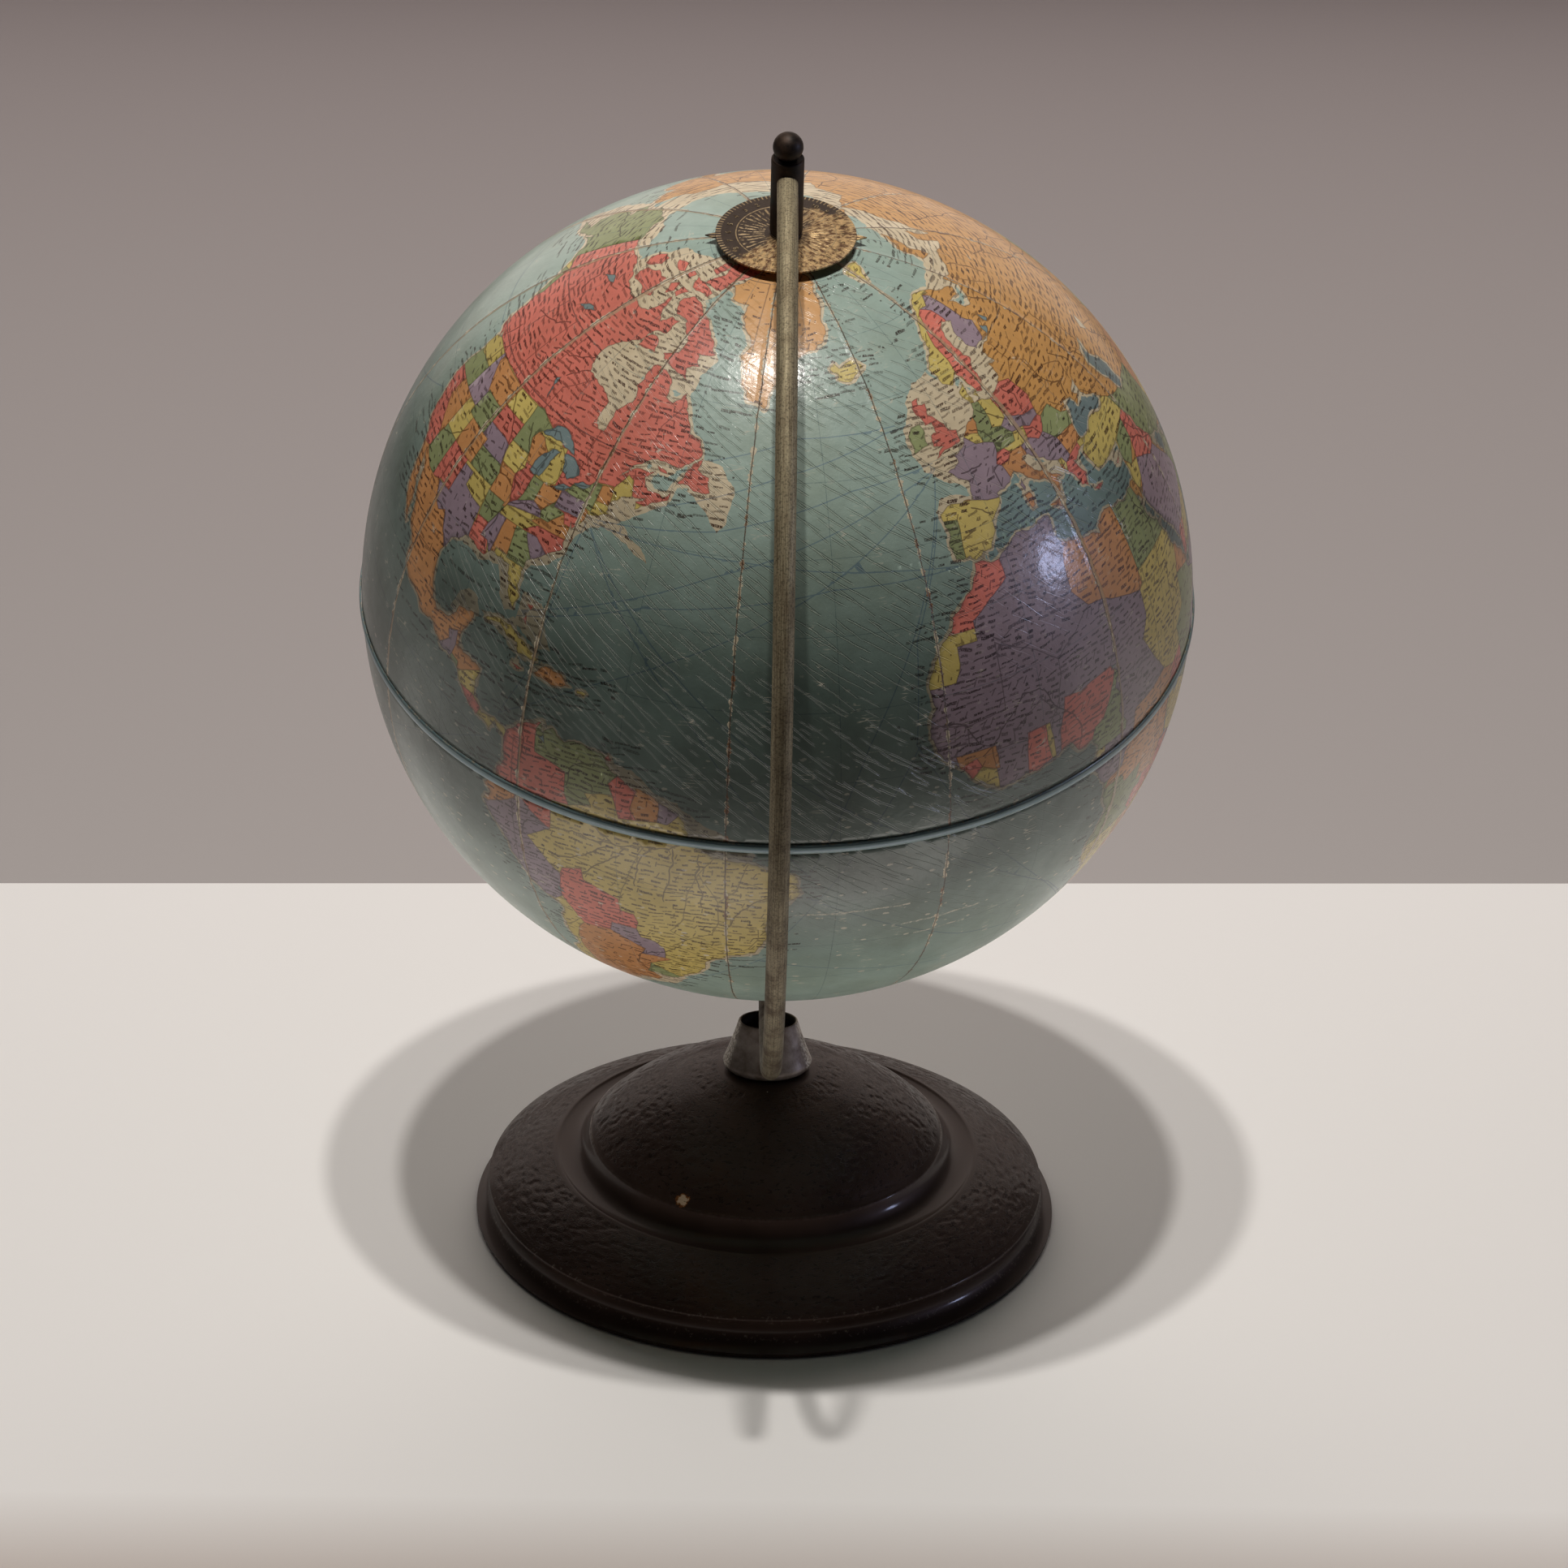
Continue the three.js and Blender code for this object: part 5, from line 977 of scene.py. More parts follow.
RIVERS = """
mississippi: -89.3,29.3 -91.3,31.5 -90.3,35 -89.3,37 -91.2,40.5 -91.2,43.5 -93.2,45 -95,47
missouri: -90.2,38.8 -94.6,39.1 -97,42.8 -101,46 -104,48 -110,47.7
ohio: -89.2,37 -86,38 -82.4,38.6 -80.3,40.4
arkansas: -91.2,34 -97,37 -104,38.2
colorado: -114.8,32 -114.5,36 -111,37 -108,39.5
rio_grande: -97.4,26 -101,29.5 -104.5,29.6 -106.5,32 -106.5,37
columbia: -124,46.2 -119,46 -119,49 -117.5,51
mackenzie: -134.5,69 -130,66.5 -123,62 -117,61.3
peace: -111.5,59 -118,56.5 -123,55.5
saskatchewan: -98.5,53.2 -105,53 -113,53.5
nelson: -92.5,57 -97,54.5
churchill: -94.5,58.8 -101,56.5 -107,55.5
yukon: -164,62.7 -157,64.7 -146,66.3 -138,62
fraser: -123,49.2 -122,52.5
amazon: -50.5,-0.5 -55,-2.3 -60,-3.2 -65,-3 -70,-4 -73.5,-4.3 -75,-8
madeira: -58.8,-3.5 -63,-8 -65.3,-10.5
negro: -60,-3.2 -63,-1 -67,1
tapajos: -55,-2.5 -57,-6 -57.5,-10
xingu: -52,-2 -52.5,-7 -53.5,-12
purus: -61.5,-4 -65,-7 -69,-9
orinoco: -61.5,8.8 -66.5,7.6 -67.5,4 -64.5,3
magdalena: -74.8,11 -74.3,8 -75.5,3
sao_francisco: -36.5,-10.3 -39,-8.8 -43,-12 -45,-17
parana: -58.4,-34 -60,-31 -58.5,-27.3 -54.5,-25 -51,-20.5
tocantins: -48.5,-2 -49,-6 -48.3,-12
nile: 31,31.3 31,29 32.7,26 33,24 31,19 33.5,18.5 32.5,15.5 32.5,11 31,7.5 31.5,3.5 33,0.5
blue_nile: 32.5,15.5 35,11.5 37.3,11.5
niger: 6,4.5 6.5,8 4,11.5 0,16.5 -3,16.8 -7,13 -10,10
senegal: -16.3,16 -12,15 -10.5,12
benue: 6.7,7.8 11,8 14,9
congo: 12.5,-6 15.5,-4.3 18,-0.5 22,2.2 25.5,0.5 26.5,-5 26,-10
kasai: 16.3,-3.3 20.5,-4.5 20,-10
zambezi: 36,-18.5 33,-17 28,-16 25.5,-17.9 23,-16 22.5,-12
orange: 16.5,-28.6 20,-28.8 24,-29.5 28,-29.8
limpopo: 33,-25 31,-22.4 27,-24
danube: 29.5,45.2 26,43.7 22.5,44.5 20,45.2 19,47.5 16.5,48.2 12,48.9 9,48
rhine: 4.5,51.9 7,51 8.3,49.5 7.6,47.6
elbe: 9,53.8 12,52 14.5,50.5
oder: 14.4,53.6 17,51.2
vistula: 19,54.3 21,52.3 19.5,50
loire: -2,47.2 3,47.3
rhone: 4.8,43.5 4.8,45.7 7,46.2
ebro: 0.7,40.8 -3,42.6
tagus: -9,38.9 -4,39.9
volga: 48,46 45,48.6 48,52 49,55.5 44,56.3 38,57
dnieper: 33,46.5 35,48.3 31,51 31,54.5
don: 39.3,47.2 43,48 39.5,51.5
ural: 51.8,47 51.5,51 59,53
dvina: 40.5,64.5 46,61 40,60
pechora: 54,68 57,65 57,62
ob: 69,66.5 66,63 70,61 77,60 82,56.5 84,52
irtysh: 69,61 70,58 76,53.5 84,48
yenisei: 83,70 87,66 91,61 93,57 92,52
lena: 127,72.5 124,66 129,63 120,60 108,55
kolyma: 160,69 153,65 148,62
amur: 141,53 137,50 131,47.8 122,53
hwang: 118.5,37.8 114,35 110.5,35 110,40.3 106.5,38.5 103.5,36 98,34.5
yangtse: 121.5,31.5 116.5,30 111,30.5 106.5,29.5 102,26.5 98.5,30 93,34
si: 113,22.8 106,24
mekong: 106.5,10 105.5,15 102.5,18 100.5,21.5 98.5,27
irrawaddy: 95.5,16.5 95,21 97,26
ganges: 89.5,22.5 87,25 82,25.5 78,29
brahmaputra: 90,24 91,26.5 95,28.5 90,29.5 82,30
indus: 68,24 71,29.5 73,34 79,33
godavari: 82,16.7 77,19 74.5,20
euphrates: 48,30.3 44,33 39,36.5
tigris: 47.5,31 44,34 42,37
murray: 139,-35.2 142,-34.2 147,-36
darling: 142,-34.2 146,-30 150,-27.5
oxus: 60,43.5 63,39 68,37.5
"""
ROUTES = """
new_york_channel: -72,40.5 -50,43 -25,48.5 -7,49.8
new_york_gibraltar: -72,40 -45,39.5 -20,37.5 -8,36
new_york_panama: -73.5,39.5 -74.5,25 -74.5,20 -79,10.5
new_york_recife: -72.5,39.5 -50,17 -34,-5
new_york_cape: -72,39 -40,13 -20,0 5,-20 17,-33.5
channel_panama: -7,49 -30,37 -55,25 -67,18.8 -79,10.5
channel_recife: -8,47.5 -17,31 -26,15 -34,-5
channel_cape: -10,43 -18,28 -19.5,14 -10,-3 14,-31
halifax_liverpool: -62,44.5 -40,50.5 -15,55.3 -8,55.6
belle_isle: -54,52 -35,56 -12,56
gulf_gibraltar: -79.5,24.5 -60,31.5 -30,36 -9,36
havana_channel: -79,25.5 -50,37 -20,46 -8,48.8
recife_cape: -34,-9 -10,-24 16,-34
rio_cape: -41,-24 -10,-32.5 16,-35
rio_dakar: -38,-19 -31,-7 -19,14
plate_channel: -54,-36 -38,-22
san_francisco_honolulu: -124,37.5 -157,21.5 -190,24 -220,34
vancouver_yokohama: -127,49 -160,51.5 -190,48 -219,36
honolulu_sydney: -158,21 -180,-16 -207,-34
panama_auckland: -81,6 -120,-15 -184,-37
panama_honolulu: -83,6.5 -157,20.5
valparaiso_auckland: -73,-33 -120,-43 -184,-38
aden_bombay: 46,12.3 60,15 72,18.5
aden_colombo: 51.5,12.3 65,9.5 79,6.5
colombo_fremantle: 81,5.5 100,-17 114,-32
cape_fremantle: 20,-35.5 60,-38 114,-33
colombo_singapore: 82,5.5 95,6.3
durban_colombo: 32,-29.5 55,-12 79,5
cape_sydney: 22,-36 70,-43 120,-40 146,-40.5 150.5,-35
singapore_hong_kong: 105,1.3 110,9 114,21.5
hong_kong_yokohama: 115,21.5 128,28 139.5,34
auckland_sydney: 173,-35 152.5,-34
"""


# %% Read the outlines
def outlines(text):
    found = {}
    for word in text.split():
        if word.endswith(":"):
            line = found[word[:-1]] = []
        else:
            line.append(tuple(float(number) for number in word.split(",")))
    return found


coasts, waters = outlines(COASTS), outlines(LAKES_AND_SEAS)
countries = {land: outlines(text) for land, text in COUNTRIES.items()}
borders, rivers, routes = outlines(INNER_BORDERS), outlines(RIVERS), outlines(ROUTES)
shallows, blue_seas = outlines(SHALLOWS), outlines(BLUE_SEAS)
print(len(coasts), "coasts,", sum(len(c) for c in countries.values()), "countries and states,", len(rivers),
      "rivers")

# %% [markdown]
# ### Wandering lines
# A coast drawn with a ruler looks false. Each stretch is halved again and again, and each new
# middle point is pushed a little to one side. The push is seeded by the stretch's own ends, so
# two countries that share a border wander together. A border that follows a meridian or a
# parallel was surveyed, and stays straight.


# %% Let a line wander
def wander(a, b, amount, finest):
    shrink = max(0.15, math.cos(math.radians((a[1] + b[1]) / 2)))
    if math.hypot((b[0] - a[0]) * shrink, b[1] - a[1]) < finest:
        return [a]
    low, high = sorted((a, b))
    push = random.Random(repr((low, high))).uniform(-amount, amount)
    middle = ((a[0] + b[0]) / 2 - push * (high[1] - low[1]) / shrink,
              (a[1] + b[1]) / 2 + push * (high[0] - low[0]) * shrink)
    return wander(a, middle, amount, finest) + wander(middle, b, amount, finest)


def drawn(line, amount, ring, finest=0.7, surveyed=True):
    ends = line[1:] + line[:1] if ring else line[1:]
    points = []
    for a, b in zip(line, ends):
        straight = surveyed and (a[0] == b[0] or a[1] == b[1])
        points += wander(a, b, 0 if straight else amount, finest)
    return points if ring else points + [line[-1]]


# %% Lay a line on the flat sheet of one half
MERIDIAN_AT_ARM = -38.1


def on_sheet(points, pole):
    lon, lat = np.radians(np.array(points)).T
    from_pole = 90 - pole * np.degrees(lat)
    turn_east = lon - math.radians(MERIDIAN_AT_ARM)
    return np.column_stack((from_pole * np.sin(turn_east), -from_pole * np.cos(turn_east)))


def sheets_of(group, pole, amount, ring, surveyed=True):
    return {name: on_sheet(drawn(line, amount, ring, surveyed=surveyed), pole)
            for name, line in group.items() if any(pole * lat > -2 for _, lat in line)}


def inside_outline(points, outline):
    hit = np.zeros(len(points), bool)
    near = np.where(((points >= outline.min(0)) & (points <= outline.max(0))).all(1))[0]
    x, y = points[near].T
    odd = np.zeros(len(near), bool)
    for (x1, y1), (x2, y2) in zip(outline, np.roll(outline, -1, 0)):
        if y1 != y2:
            odd ^= ((y1 > y) != (y2 > y)) & (x < x1 + (y - y1) * (x2 - x1) / (y2 - y1))
    hit[near] = odd
    return hit


# %% [markdown]
# ### Inks
# The inks have mellowed under yellow varnish. Each country gets its ink a shade lighter or
# darker, because each stone was inked by hand.

# %% Mellow inks
PRINT = dict(u=0.9, r=0.97, a=0.5, sea=0.0, blue=0.3, lake=0.0, pale=0.75)
INKS = dict(r="#e88271", o="#d99a60", u="#dca560", y="#dcc672", g="#9ba472", p="#a6919e", a="#dfa869",
            k="#e0cfae", sea="#a9bfb4", blue="#93aca8", lake="#849799", pale="#e5d4b4")


def inked(ink, name):
    chance = random.Random(name)
    shade = 1 + chance.uniform(-0.09, 0.09) if len(ink) == 1 else 1
    density = PRINT.get(ink, chance.uniform(0.6, 1.0))
    return np.array([channel * shade for channel in paint(INKS[ink])[:3]] + [density])


print("inks:", ", ".join(INKS))

# %% [markdown]
# ### Cutting one sheet
# The sheet's triangles never cross a coast or a border, so each can be given one flat ink, and
# every edge of colour is sharp. Each corner also remembers how far it is from the nearest
# coast, border, river and route, and the finish draws the printed lines from those distances.
# An edge that jumps from coast to coast would carry a distance of nothing all the way, so such
# edges are cut in half, and the new corner gets its true distance.

# %% Cut the sheet along every line
GLOBE_RADIUS, WALL, POLE_HOLE = 152.4, 2.6, 4.9
RIM_DEGREES = math.degrees(math.acos(0.15 / GLOBE_RADIUS))
HOLE_DEGREES = math.degrees(math.asin(POLE_HOLE / GLOBE_RADIUS))


def on_globe(sheet, pole):
    from_pole = np.radians(np.hypot(*sheet.T))
    spread = GLOBE_RADIUS * np.sin(from_pole) / np.maximum(np.hypot(*sheet.T), 1e-9)
    return np.column_stack((sheet * spread[:, None], pole * GLOBE_RADIUS * np.cos(from_pole)))


def ring_of(radius, count):
    angles = np.arange(count) * 2 * math.pi / count
    return np.column_stack((radius * np.sin(angles), -radius * np.cos(angles)))


def cut_sheet(lines, pole):
    corners, cuts, seen = [], [], {}

    def corner(x, y):
        key = (round(x, 4), round(y, 4))
        if key not in seen:
            seen[key] = len(corners)
            corners.append(key)
        return seen[key]

    for line in lines:
        reach = np.hypot(*line.T)
        for i in range(len(line) - 1):
            if HOLE_DEGREES + 0.4 < min(reach[i:i + 2]) and max(reach[i:i + 2]) < RIM_DEGREES - 0.4:
                a, b = corner(*line[i]), corner(*line[i + 1])
                if a != b:
                    cuts.append((a, b))
    for radius, count in ((HOLE_DEGREES, 90), (RIM_DEGREES, 360)):
        loop = [corner(x, y) for x, y in ring_of(radius, count)]
        cuts += list(zip(loop, loop[1:] + loop[:1]))
    for step in np.arange(1.3, 88.9, 1.3):
        if step > HOLE_DEGREES + 0.6:
            for x, y in ring_of(step, max(24, round(360 * math.sin(math.radians(step)) / 1.4))):
                corner(x, y)
    flat = [Vector(c) for c in corners]
    points, edges, faces, _, from_cuts, _ = delaunay_2d_cdt(flat, cuts, [], 0, 1e-5, True)
    return np.array([tuple(p) for p in points]), edges, faces, from_cuts


# %% Distances to the nearest drawn line
def sampled(lines, pole, step=0.12):
    samples = []
    for line in lines:
        for a, b in zip(line, line[1:]):
            count = max(1, int(np.ceil(np.hypot(*(b - a)) / step)))
            samples.append(a + (b - a) * (np.arange(count) / count)[:, None])
        samples.append(line[-1:])
    sheet = np.vstack(samples)
    sheet = sheet[np.hypot(*sheet.T) < 91]
    tree = kdtree.KDTree(len(sheet))
    for i, place in enumerate(on_globe(sheet, pole)):
        tree.insert(place, i)
    tree.balance()
    return tree


def distances(tree, places):
    return np.array([tree.find(place)[2] for place in places])


# %% Ink every triangle of one half
SALT_SEAS = ("black_sea", "caspian", "aral")


def inks_for(centres, pole):
    def sheets(group, amount, surveyed=True):
        return sheets_of(group, pole, amount, True, surveyed)

    colours = np.tile(inked("sea", ""), (len(centres), 1))
    wet = np.ones(len(centres), bool)
    for ink, group in (("blue", blue_seas), ("pale", shallows)):
        for outline in sheets(group, 0.12, False).values():
            colours[inside_outline(centres, outline)] = inked(ink, "")
    for land, outline in sheets(coasts, 0.14, False).items():
        hit = np.where(inside_outline(centres, outline))[0]
        wet[hit] = False
        name = land[:-2]
        colours[hit] = inked(land[-1], name)
        waiting = np.ones(len(hit), bool)
        for label, shape in sheets(countries.get(name, {}), 0.03).items():
            found = inside_outline(centres[hit], shape) & waiting
            colours[hit[found]] = inked(label[-1], label)
            waiting &= ~found
    for name, outline in sheets(waters, 0.12, False).items():
        hit = inside_outline(centres, outline) & ~wet
        colours[hit] = inked("lake", "")
        wet |= hit & (name in SALT_SEAS)
    return colours, wet


# %% Build one half of the globe
salt_seas = {name: line for name, line in waters.items() if name in SALT_SEAS}
lakes = {name: line for name, line in waters.items() if name not in SALT_SEAS}


def half_globe(pole):
    def lines_of(group, amount, ring, surveyed=True):
        return [np.vstack((sheet, sheet[:1])) if ring else sheet
                for sheet in sheets_of(group, pole, amount, ring, surveyed).values()]

    families = {
        "coast": lines_of(coasts, 0.14, True, False) + lines_of(salt_seas, 0.12, True, False),
        "border": [line for group in countries.values() for line in lines_of(group, 0.03, True)]
        + lines_of(borders, 0.05, False) + lines_of(lakes, 0.12, True, False),
        "river": lines_of(rivers, 0.12, False),
        "route": lines_of(routes, 0.0, False),
    }
    pale = lines_of(shallows, 0.12, True, False) + lines_of(blue_seas, 0.12, True, False)
    inked_lines = [line for family in families.values() for line in family]
    points, edges, faces, from_cuts = cut_sheet(inked_lines + pale, pole)
    trees = {name: sampled(family, pole) for name, family in families.items()}
    places = on_globe(points, pole)
    zero = {name: distances(tree, places) < 0.06 for name, tree in trees.items()}
    keep = [f for f in faces if HOLE_DEGREES * 0.999 < np.hypot(*points[f].mean(0)) < RIM_DEGREES]

    bm = bmesh.new()
    verts = [bm.verts.new((x, y, 0)) for x, y in points]
    for face in keep:
        bm.faces.new([verts[i] for i in face])
    bm.verts.index_update()
    real = {frozenset(edge) for edge, cuts in zip(edges, from_cuts) if cuts}
    jumping = [edge for edge in bm.edges
               if frozenset(v.index for v in edge.verts) not in real
               and any(flags[edge.verts[0].index] and flags[edge.verts[1].index] for flags in zero.values())]
    ringed = [face for face in bm.faces
              if any(all(flags[v.index] for v in face.verts) for flags in zero.values())
              and all(frozenset(v.index for v in edge.verts) in real for edge in face.edges)]
    bmesh.ops.poke(bm, faces=ringed)
    bmesh.ops.subdivide_edges(bm, edges=jumping, cuts=1)
    bmesh.ops.triangulate(bm, faces=[face for face in bm.faces if len(face.verts) > 3])
    bmesh.ops.delete(bm, geom=[vert for vert in bm.verts if not vert.link_faces], context="VERTS")

    sheet = np.array([vert.co[:2] for vert in bm.verts])
    places = on_globe(sheet, pole)
    centres = np.array([face.calc_center_median()[:2] for face in bm.faces])
    colours, wet = inks_for(centres, pole)
    tint = bm.loops.layers.float_color.new("tint")
    layers = {name: bm.verts.layers.float.new(name) for name in trees}
    at_sea = {}
    for face, colour, is_wet in zip(bm.faces, colours, wet):
        for loop in face.loops:
            loop[tint] = colour
            at_sea[loop.vert] = is_wet
    far = {name: distances(tree, places) for name, tree in trees.items()}
    for i, vert in enumerate(bm.verts):
        for name, layer in layers.items():
            vert[layer] = far[name][i] * (-1 if name == "coast" and not at_sea[vert] else 1)
        vert.co = places[i] * MM
    bm.normal_update()
    if sum(face.normal.dot(face.calc_center_median()) for face in bm.faces) < 0:
        bmesh.ops.reverse_faces(bm, faces=bm.faces)
    return bm


north_half = half_globe(1)
south_half = half_globe(-1)
print("map triangles:", len(north_half.faces), len(south_half.faces))

# %% [markdown]
# ## Printed paper under old varnish
# The print is close to a real chart's: brown-black coast and border lines, a pale edge along
# every shore, rows of tiny words that run out to sea, a grid of meridians and parallels, and
# thin blue steamer routes. No letters are drawn: a word is only a bar as long and as dense as
# small print. Over it lies varnish that has gone yellow, cracked in long slanting lines and got
# scuffed, most of all along the seams of the gores, where brown board and torn cream paper
# show. The pale edges of the cracks, in front and in the north, are partly the varnish's raised
# edge and partly a painted highlight. A belt of painted shade darkens the paper round the
# equator, where the overhead lamps light it least.

# %% Places on the paper: millimetres north and east
paper, add, shader = new_finish("varnished_map_paper", Coat_Weight=0.5, Coat_Roughness=0.2)
local, angle, reach, up = axis_millimetres(add)
lat = add("Math", (add("Math", (up, GLOBE_RADIUS), "DIVIDE"),), "ARCSINE")
north = add("Math", (lat, GLOBE_RADIUS), "MULTIPLY")
east = product(add, angle, reach)
flat_place = add("CombineXYZ", (east, north))
coast, border, river, route = (add("Attribute", attribute_name=line).outputs["Fac"]
                               for line in ("coast", "border", "river", "route"))
tint = add("Attribute", attribute_name="tint")
at_sea = add("Math", (coast, 0.0), "GREATER_THAN")
on_land = add("Math", (1.0, at_sea), "SUBTRACT")
fine, middling, broad = (add("TexNoise", (local, 1 / size, 4.0, 0.6))
                         for size in (1.6, 9, 38))

# %% The pale edge along a shore, up to 1.6 mm wide, and uneven ink under yellowed varnish
halo_width = add("MapRange", (middling, 0.35, 0.65, 0.4, 1.6))
halo_edge = add("MapRange", (add("Math", (halo_width, coast), "SUBTRACT"), -0.15, 0.15))
halo = product(add, halo_edge, at_sea)
shored = add("Mix", (halo, tint.outputs["Color"], paint(INKS["pale"])), "RGBA")
ink_cloud = add("MapRange", (middling, 0.25, 0.75, 0.88, 1.07))
clouded = add("VectorMath", (shored, ink_cloud), "SCALE")
yellowing = add("MapRange", (broad, 0.42, 0.72, 0.0, 0.35))
yellowed = add("Mix", (yellowing, clouded, paint("#c2b795")), "RGBA", blend_type="MULTIPLY")

# %% Meridians every 15 degrees, one seam in two, and parallels every 10
grid_turn = add("Math", (angle, 12 / math.pi, 6.9 / 15 + 0.5), "MULTIPLY_ADD")
grid_part = in_step(add, grid_turn)
grid_gap = add("Math", (add("Math", (grid_part,), "ABSOLUTE"), reach), "MULTIPLY")
meridian = add("MapRange", (grid_gap, 0.7, 0.4))
lat_part = add("Math", (add("Math", (lat, 18 / math.pi, 0.5), "MULTIPLY_ADD"),), "FRACT")
lat_gap = gap_from(add, lat_part, 0.5)
parallel = add("MapRange", (lat_gap, 0.0072, 0.004))
grid_faint = add("MapRange", (fine, 0.35, 0.6, 0.2, 0.5))
grid_ink = add("Math", (add("Math", (meridian, parallel), "MAXIMUM"), grid_faint), "MULTIPLY")
gridded = add("Mix", (grid_ink, yellowed, paint("#46636b")), "RGBA")

# %% Blue steamer routes at sea and brown rivers on land
route_line = add("MapRange", (route, 0.28, 0.12, 0.0, 0.5))
route_ink = product(add, route_line, at_sea)
routed = add("Mix", (route_ink, gridded, paint("#3f6488")), "RGBA")
river_line = add("MapRange", (river, 0.34, 0.16, 0.0, 0.75))
river_ink = product(add, river_line, on_land)

# %% Rows of words 2.2 mm apart. Three lots of chance set each word's length, height and ink
WORD_PITCH, WORD_STEP = 2.2, 5.6
bent_north = add("Math", (broad, 9.0, north), "MULTIPLY_ADD")
row = add("Math", (bent_north, 1 / WORD_PITCH), "MULTIPLY")
row_number = add("Math", (row,), "FLOOR")
row_chance = add("TexWhiteNoise", (row_number,), noise_dimensions="1D").outputs["Value"]
word = add("Math", (east, 1 / WORD_STEP, add("Math", (row_chance, 9.0), "MULTIPLY")), "MULTIPLY_ADD")
word_key = add("CombineXYZ", (add("Math", (word,), "FLOOR"), row_number))
chance = add("SeparateXYZ", (add("TexWhiteNoise", (word_key,),
                                 noise_dimensions="2D").outputs["Color"],)).outputs
word_part = in_step(add, word)
row_part = in_step(add, row)

# %% A word is left out where the ink's density is low, and starts from the shore at sea
sector = add("Math", (add("Math", (angle, 7.0), "MULTIPLY"),), "FLOOR")
shore_key = add("CombineXYZ", (sector, row_number))
shore_chance = add("TexWhiteNoise", (shore_key,), noise_dimensions="2D").outputs["Value"]
shore_length = add("MapRange", (shore_chance, 0.2, 1.0, 0.0, 13.0))
beside_shore = add("Math", (add("Math", (coast, shore_length), "LESS_THAN"), at_sea), "MULTIPLY")
clump = add("MapRange", (middling, 0.38, 0.54, 0.72, 1.0))
inland = add("Math", (tint.outputs["Alpha"], clump), "MULTIPLY")
density = add("Math", (inland, beside_shore), "MAXIMUM")
half_word = add("Math", (chance[0], 0.46, add("MapRange", (density, 0, 1, -0.5, 0.2))), "MULTIPLY_ADD")
word_end = add("Math", (half_word, add("Math", (word_part,), "ABSOLUTE")), "SUBTRACT")
word_run = add("MapRange", (word_end, 0.0, 0.02))

# %% Its bar sits a little high or low in its row, leans a little, and breaks up like letters
lean = add("Math", (add("MapRange", (chance[2], 0, 1, -0.35, 0.35)), word_part), "MULTIPLY")
shift = add("Math", (add("MapRange", (chance[1], 0, 1, -0.16, 0.16)), lean), "ADD")
bar_gap = add("Math", (add("Math", (row_part, shift), "ADD"),), "ABSOLUTE")
bar_height = add("MapRange", (chance[2], 0, 1, 0.15, 0.3))
bar = add("MapRange", (add("Math", (bar_height, bar_gap), "SUBTRACT"), 0.0, 0.05))
letter_place = add("VectorMath", (flat_place, (1 / 0.5, 1 / 0.8, 0)), "MULTIPLY")
letters = add("TexNoise", (letter_place, 1.0, 1.0), noise_dimensions="2D")
letter_ink = add("MapRange", (letters, 0.36, 0.48, 0.35, 1.0))
word_depth = add("Math", (add("MapRange", (chance[1], 0, 1, 0.55, 1.0)), letter_ink), "MULTIPLY")
words = product(add, bar, word_run, word_depth)

# %% Tall single strokes stand for wide-set capitals, one in four places, 2.4 mm tall
tall_place = add("VectorMath", (flat_place, (1 / 3.4, 1 / 5.2, 0)), "MULTIPLY")
tall_cell = add("VectorMath", (tall_place,), "FLOOR")
tall_chance = add("SeparateXYZ",
                  (add("TexWhiteNoise", (tall_cell,), noise_dimensions="2D").outputs["Color"],)).outputs
tall_part = add("SeparateXYZ", (add("VectorMath", (tall_place,), "FRACTION"),)).outputs
tall_lean = add("Math", (tall_chance[1], tall_part[1], 0.25), "MULTIPLY_ADD")
tall_gap = gap_from(add, tall_part[0], tall_lean)
tall_line = add("MapRange", (tall_gap, 0.09, 0.05))
tall_run = add("MapRange", (gap_from(add, tall_part[1], 0.5), 0.25, 0.22))
tall_pick = add("Math", (tall_chance[0], 0.76), "GREATER_THAN")
tall = product(add, tall_line, tall_run, tall_pick)
tall_ink = product(add, tall, on_land, 0.7)

# %% Coast and border lines a third of a millimetre wide, and all the dark ink laid at once
coast_gap = add("Math", (coast,), "ABSOLUTE")
coast_line = add("MapRange", (coast_gap, 0.28, 0.1, 0.0, 0.5))
border_line = add("MapRange", (border, 0.3, 0.1, 0.0, 0.6))
border_ink = product(add, border_line, on_land)
dark_ink = coast_line
for ink in (border_ink, river_ink, words, tall_ink):
    dark_ink = add("Math", (dark_ink, ink), "MAXIMUM")
printed = add("Mix", (dark_ink, routed, paint("#5c463c")), "RGBA", blend_type="MULTIPLY")

# %% Painted shade: the paper is darkened in a belt over the equator, least of all far north
from_belt = gap_from(add, north, 20.0)
belt = add("MapRange", (from_belt, 110.0, 40.0))
belt_shade_cloud = add("Math", (belt, add("MapRange", (broad, 0.3, 0.7, 0.72, 0.92))), "MULTIPLY")
painted_belt_shade = add("Math", (belt_shade_cloud, add("MapRange", (coast, -2.0, 1.0, 0.12, 1.0))), "MULTIPLY")
belt_shaded = add("Mix", (painted_belt_shade, printed, paint("#677170")), "RGBA", blend_type="MULTIPLY")

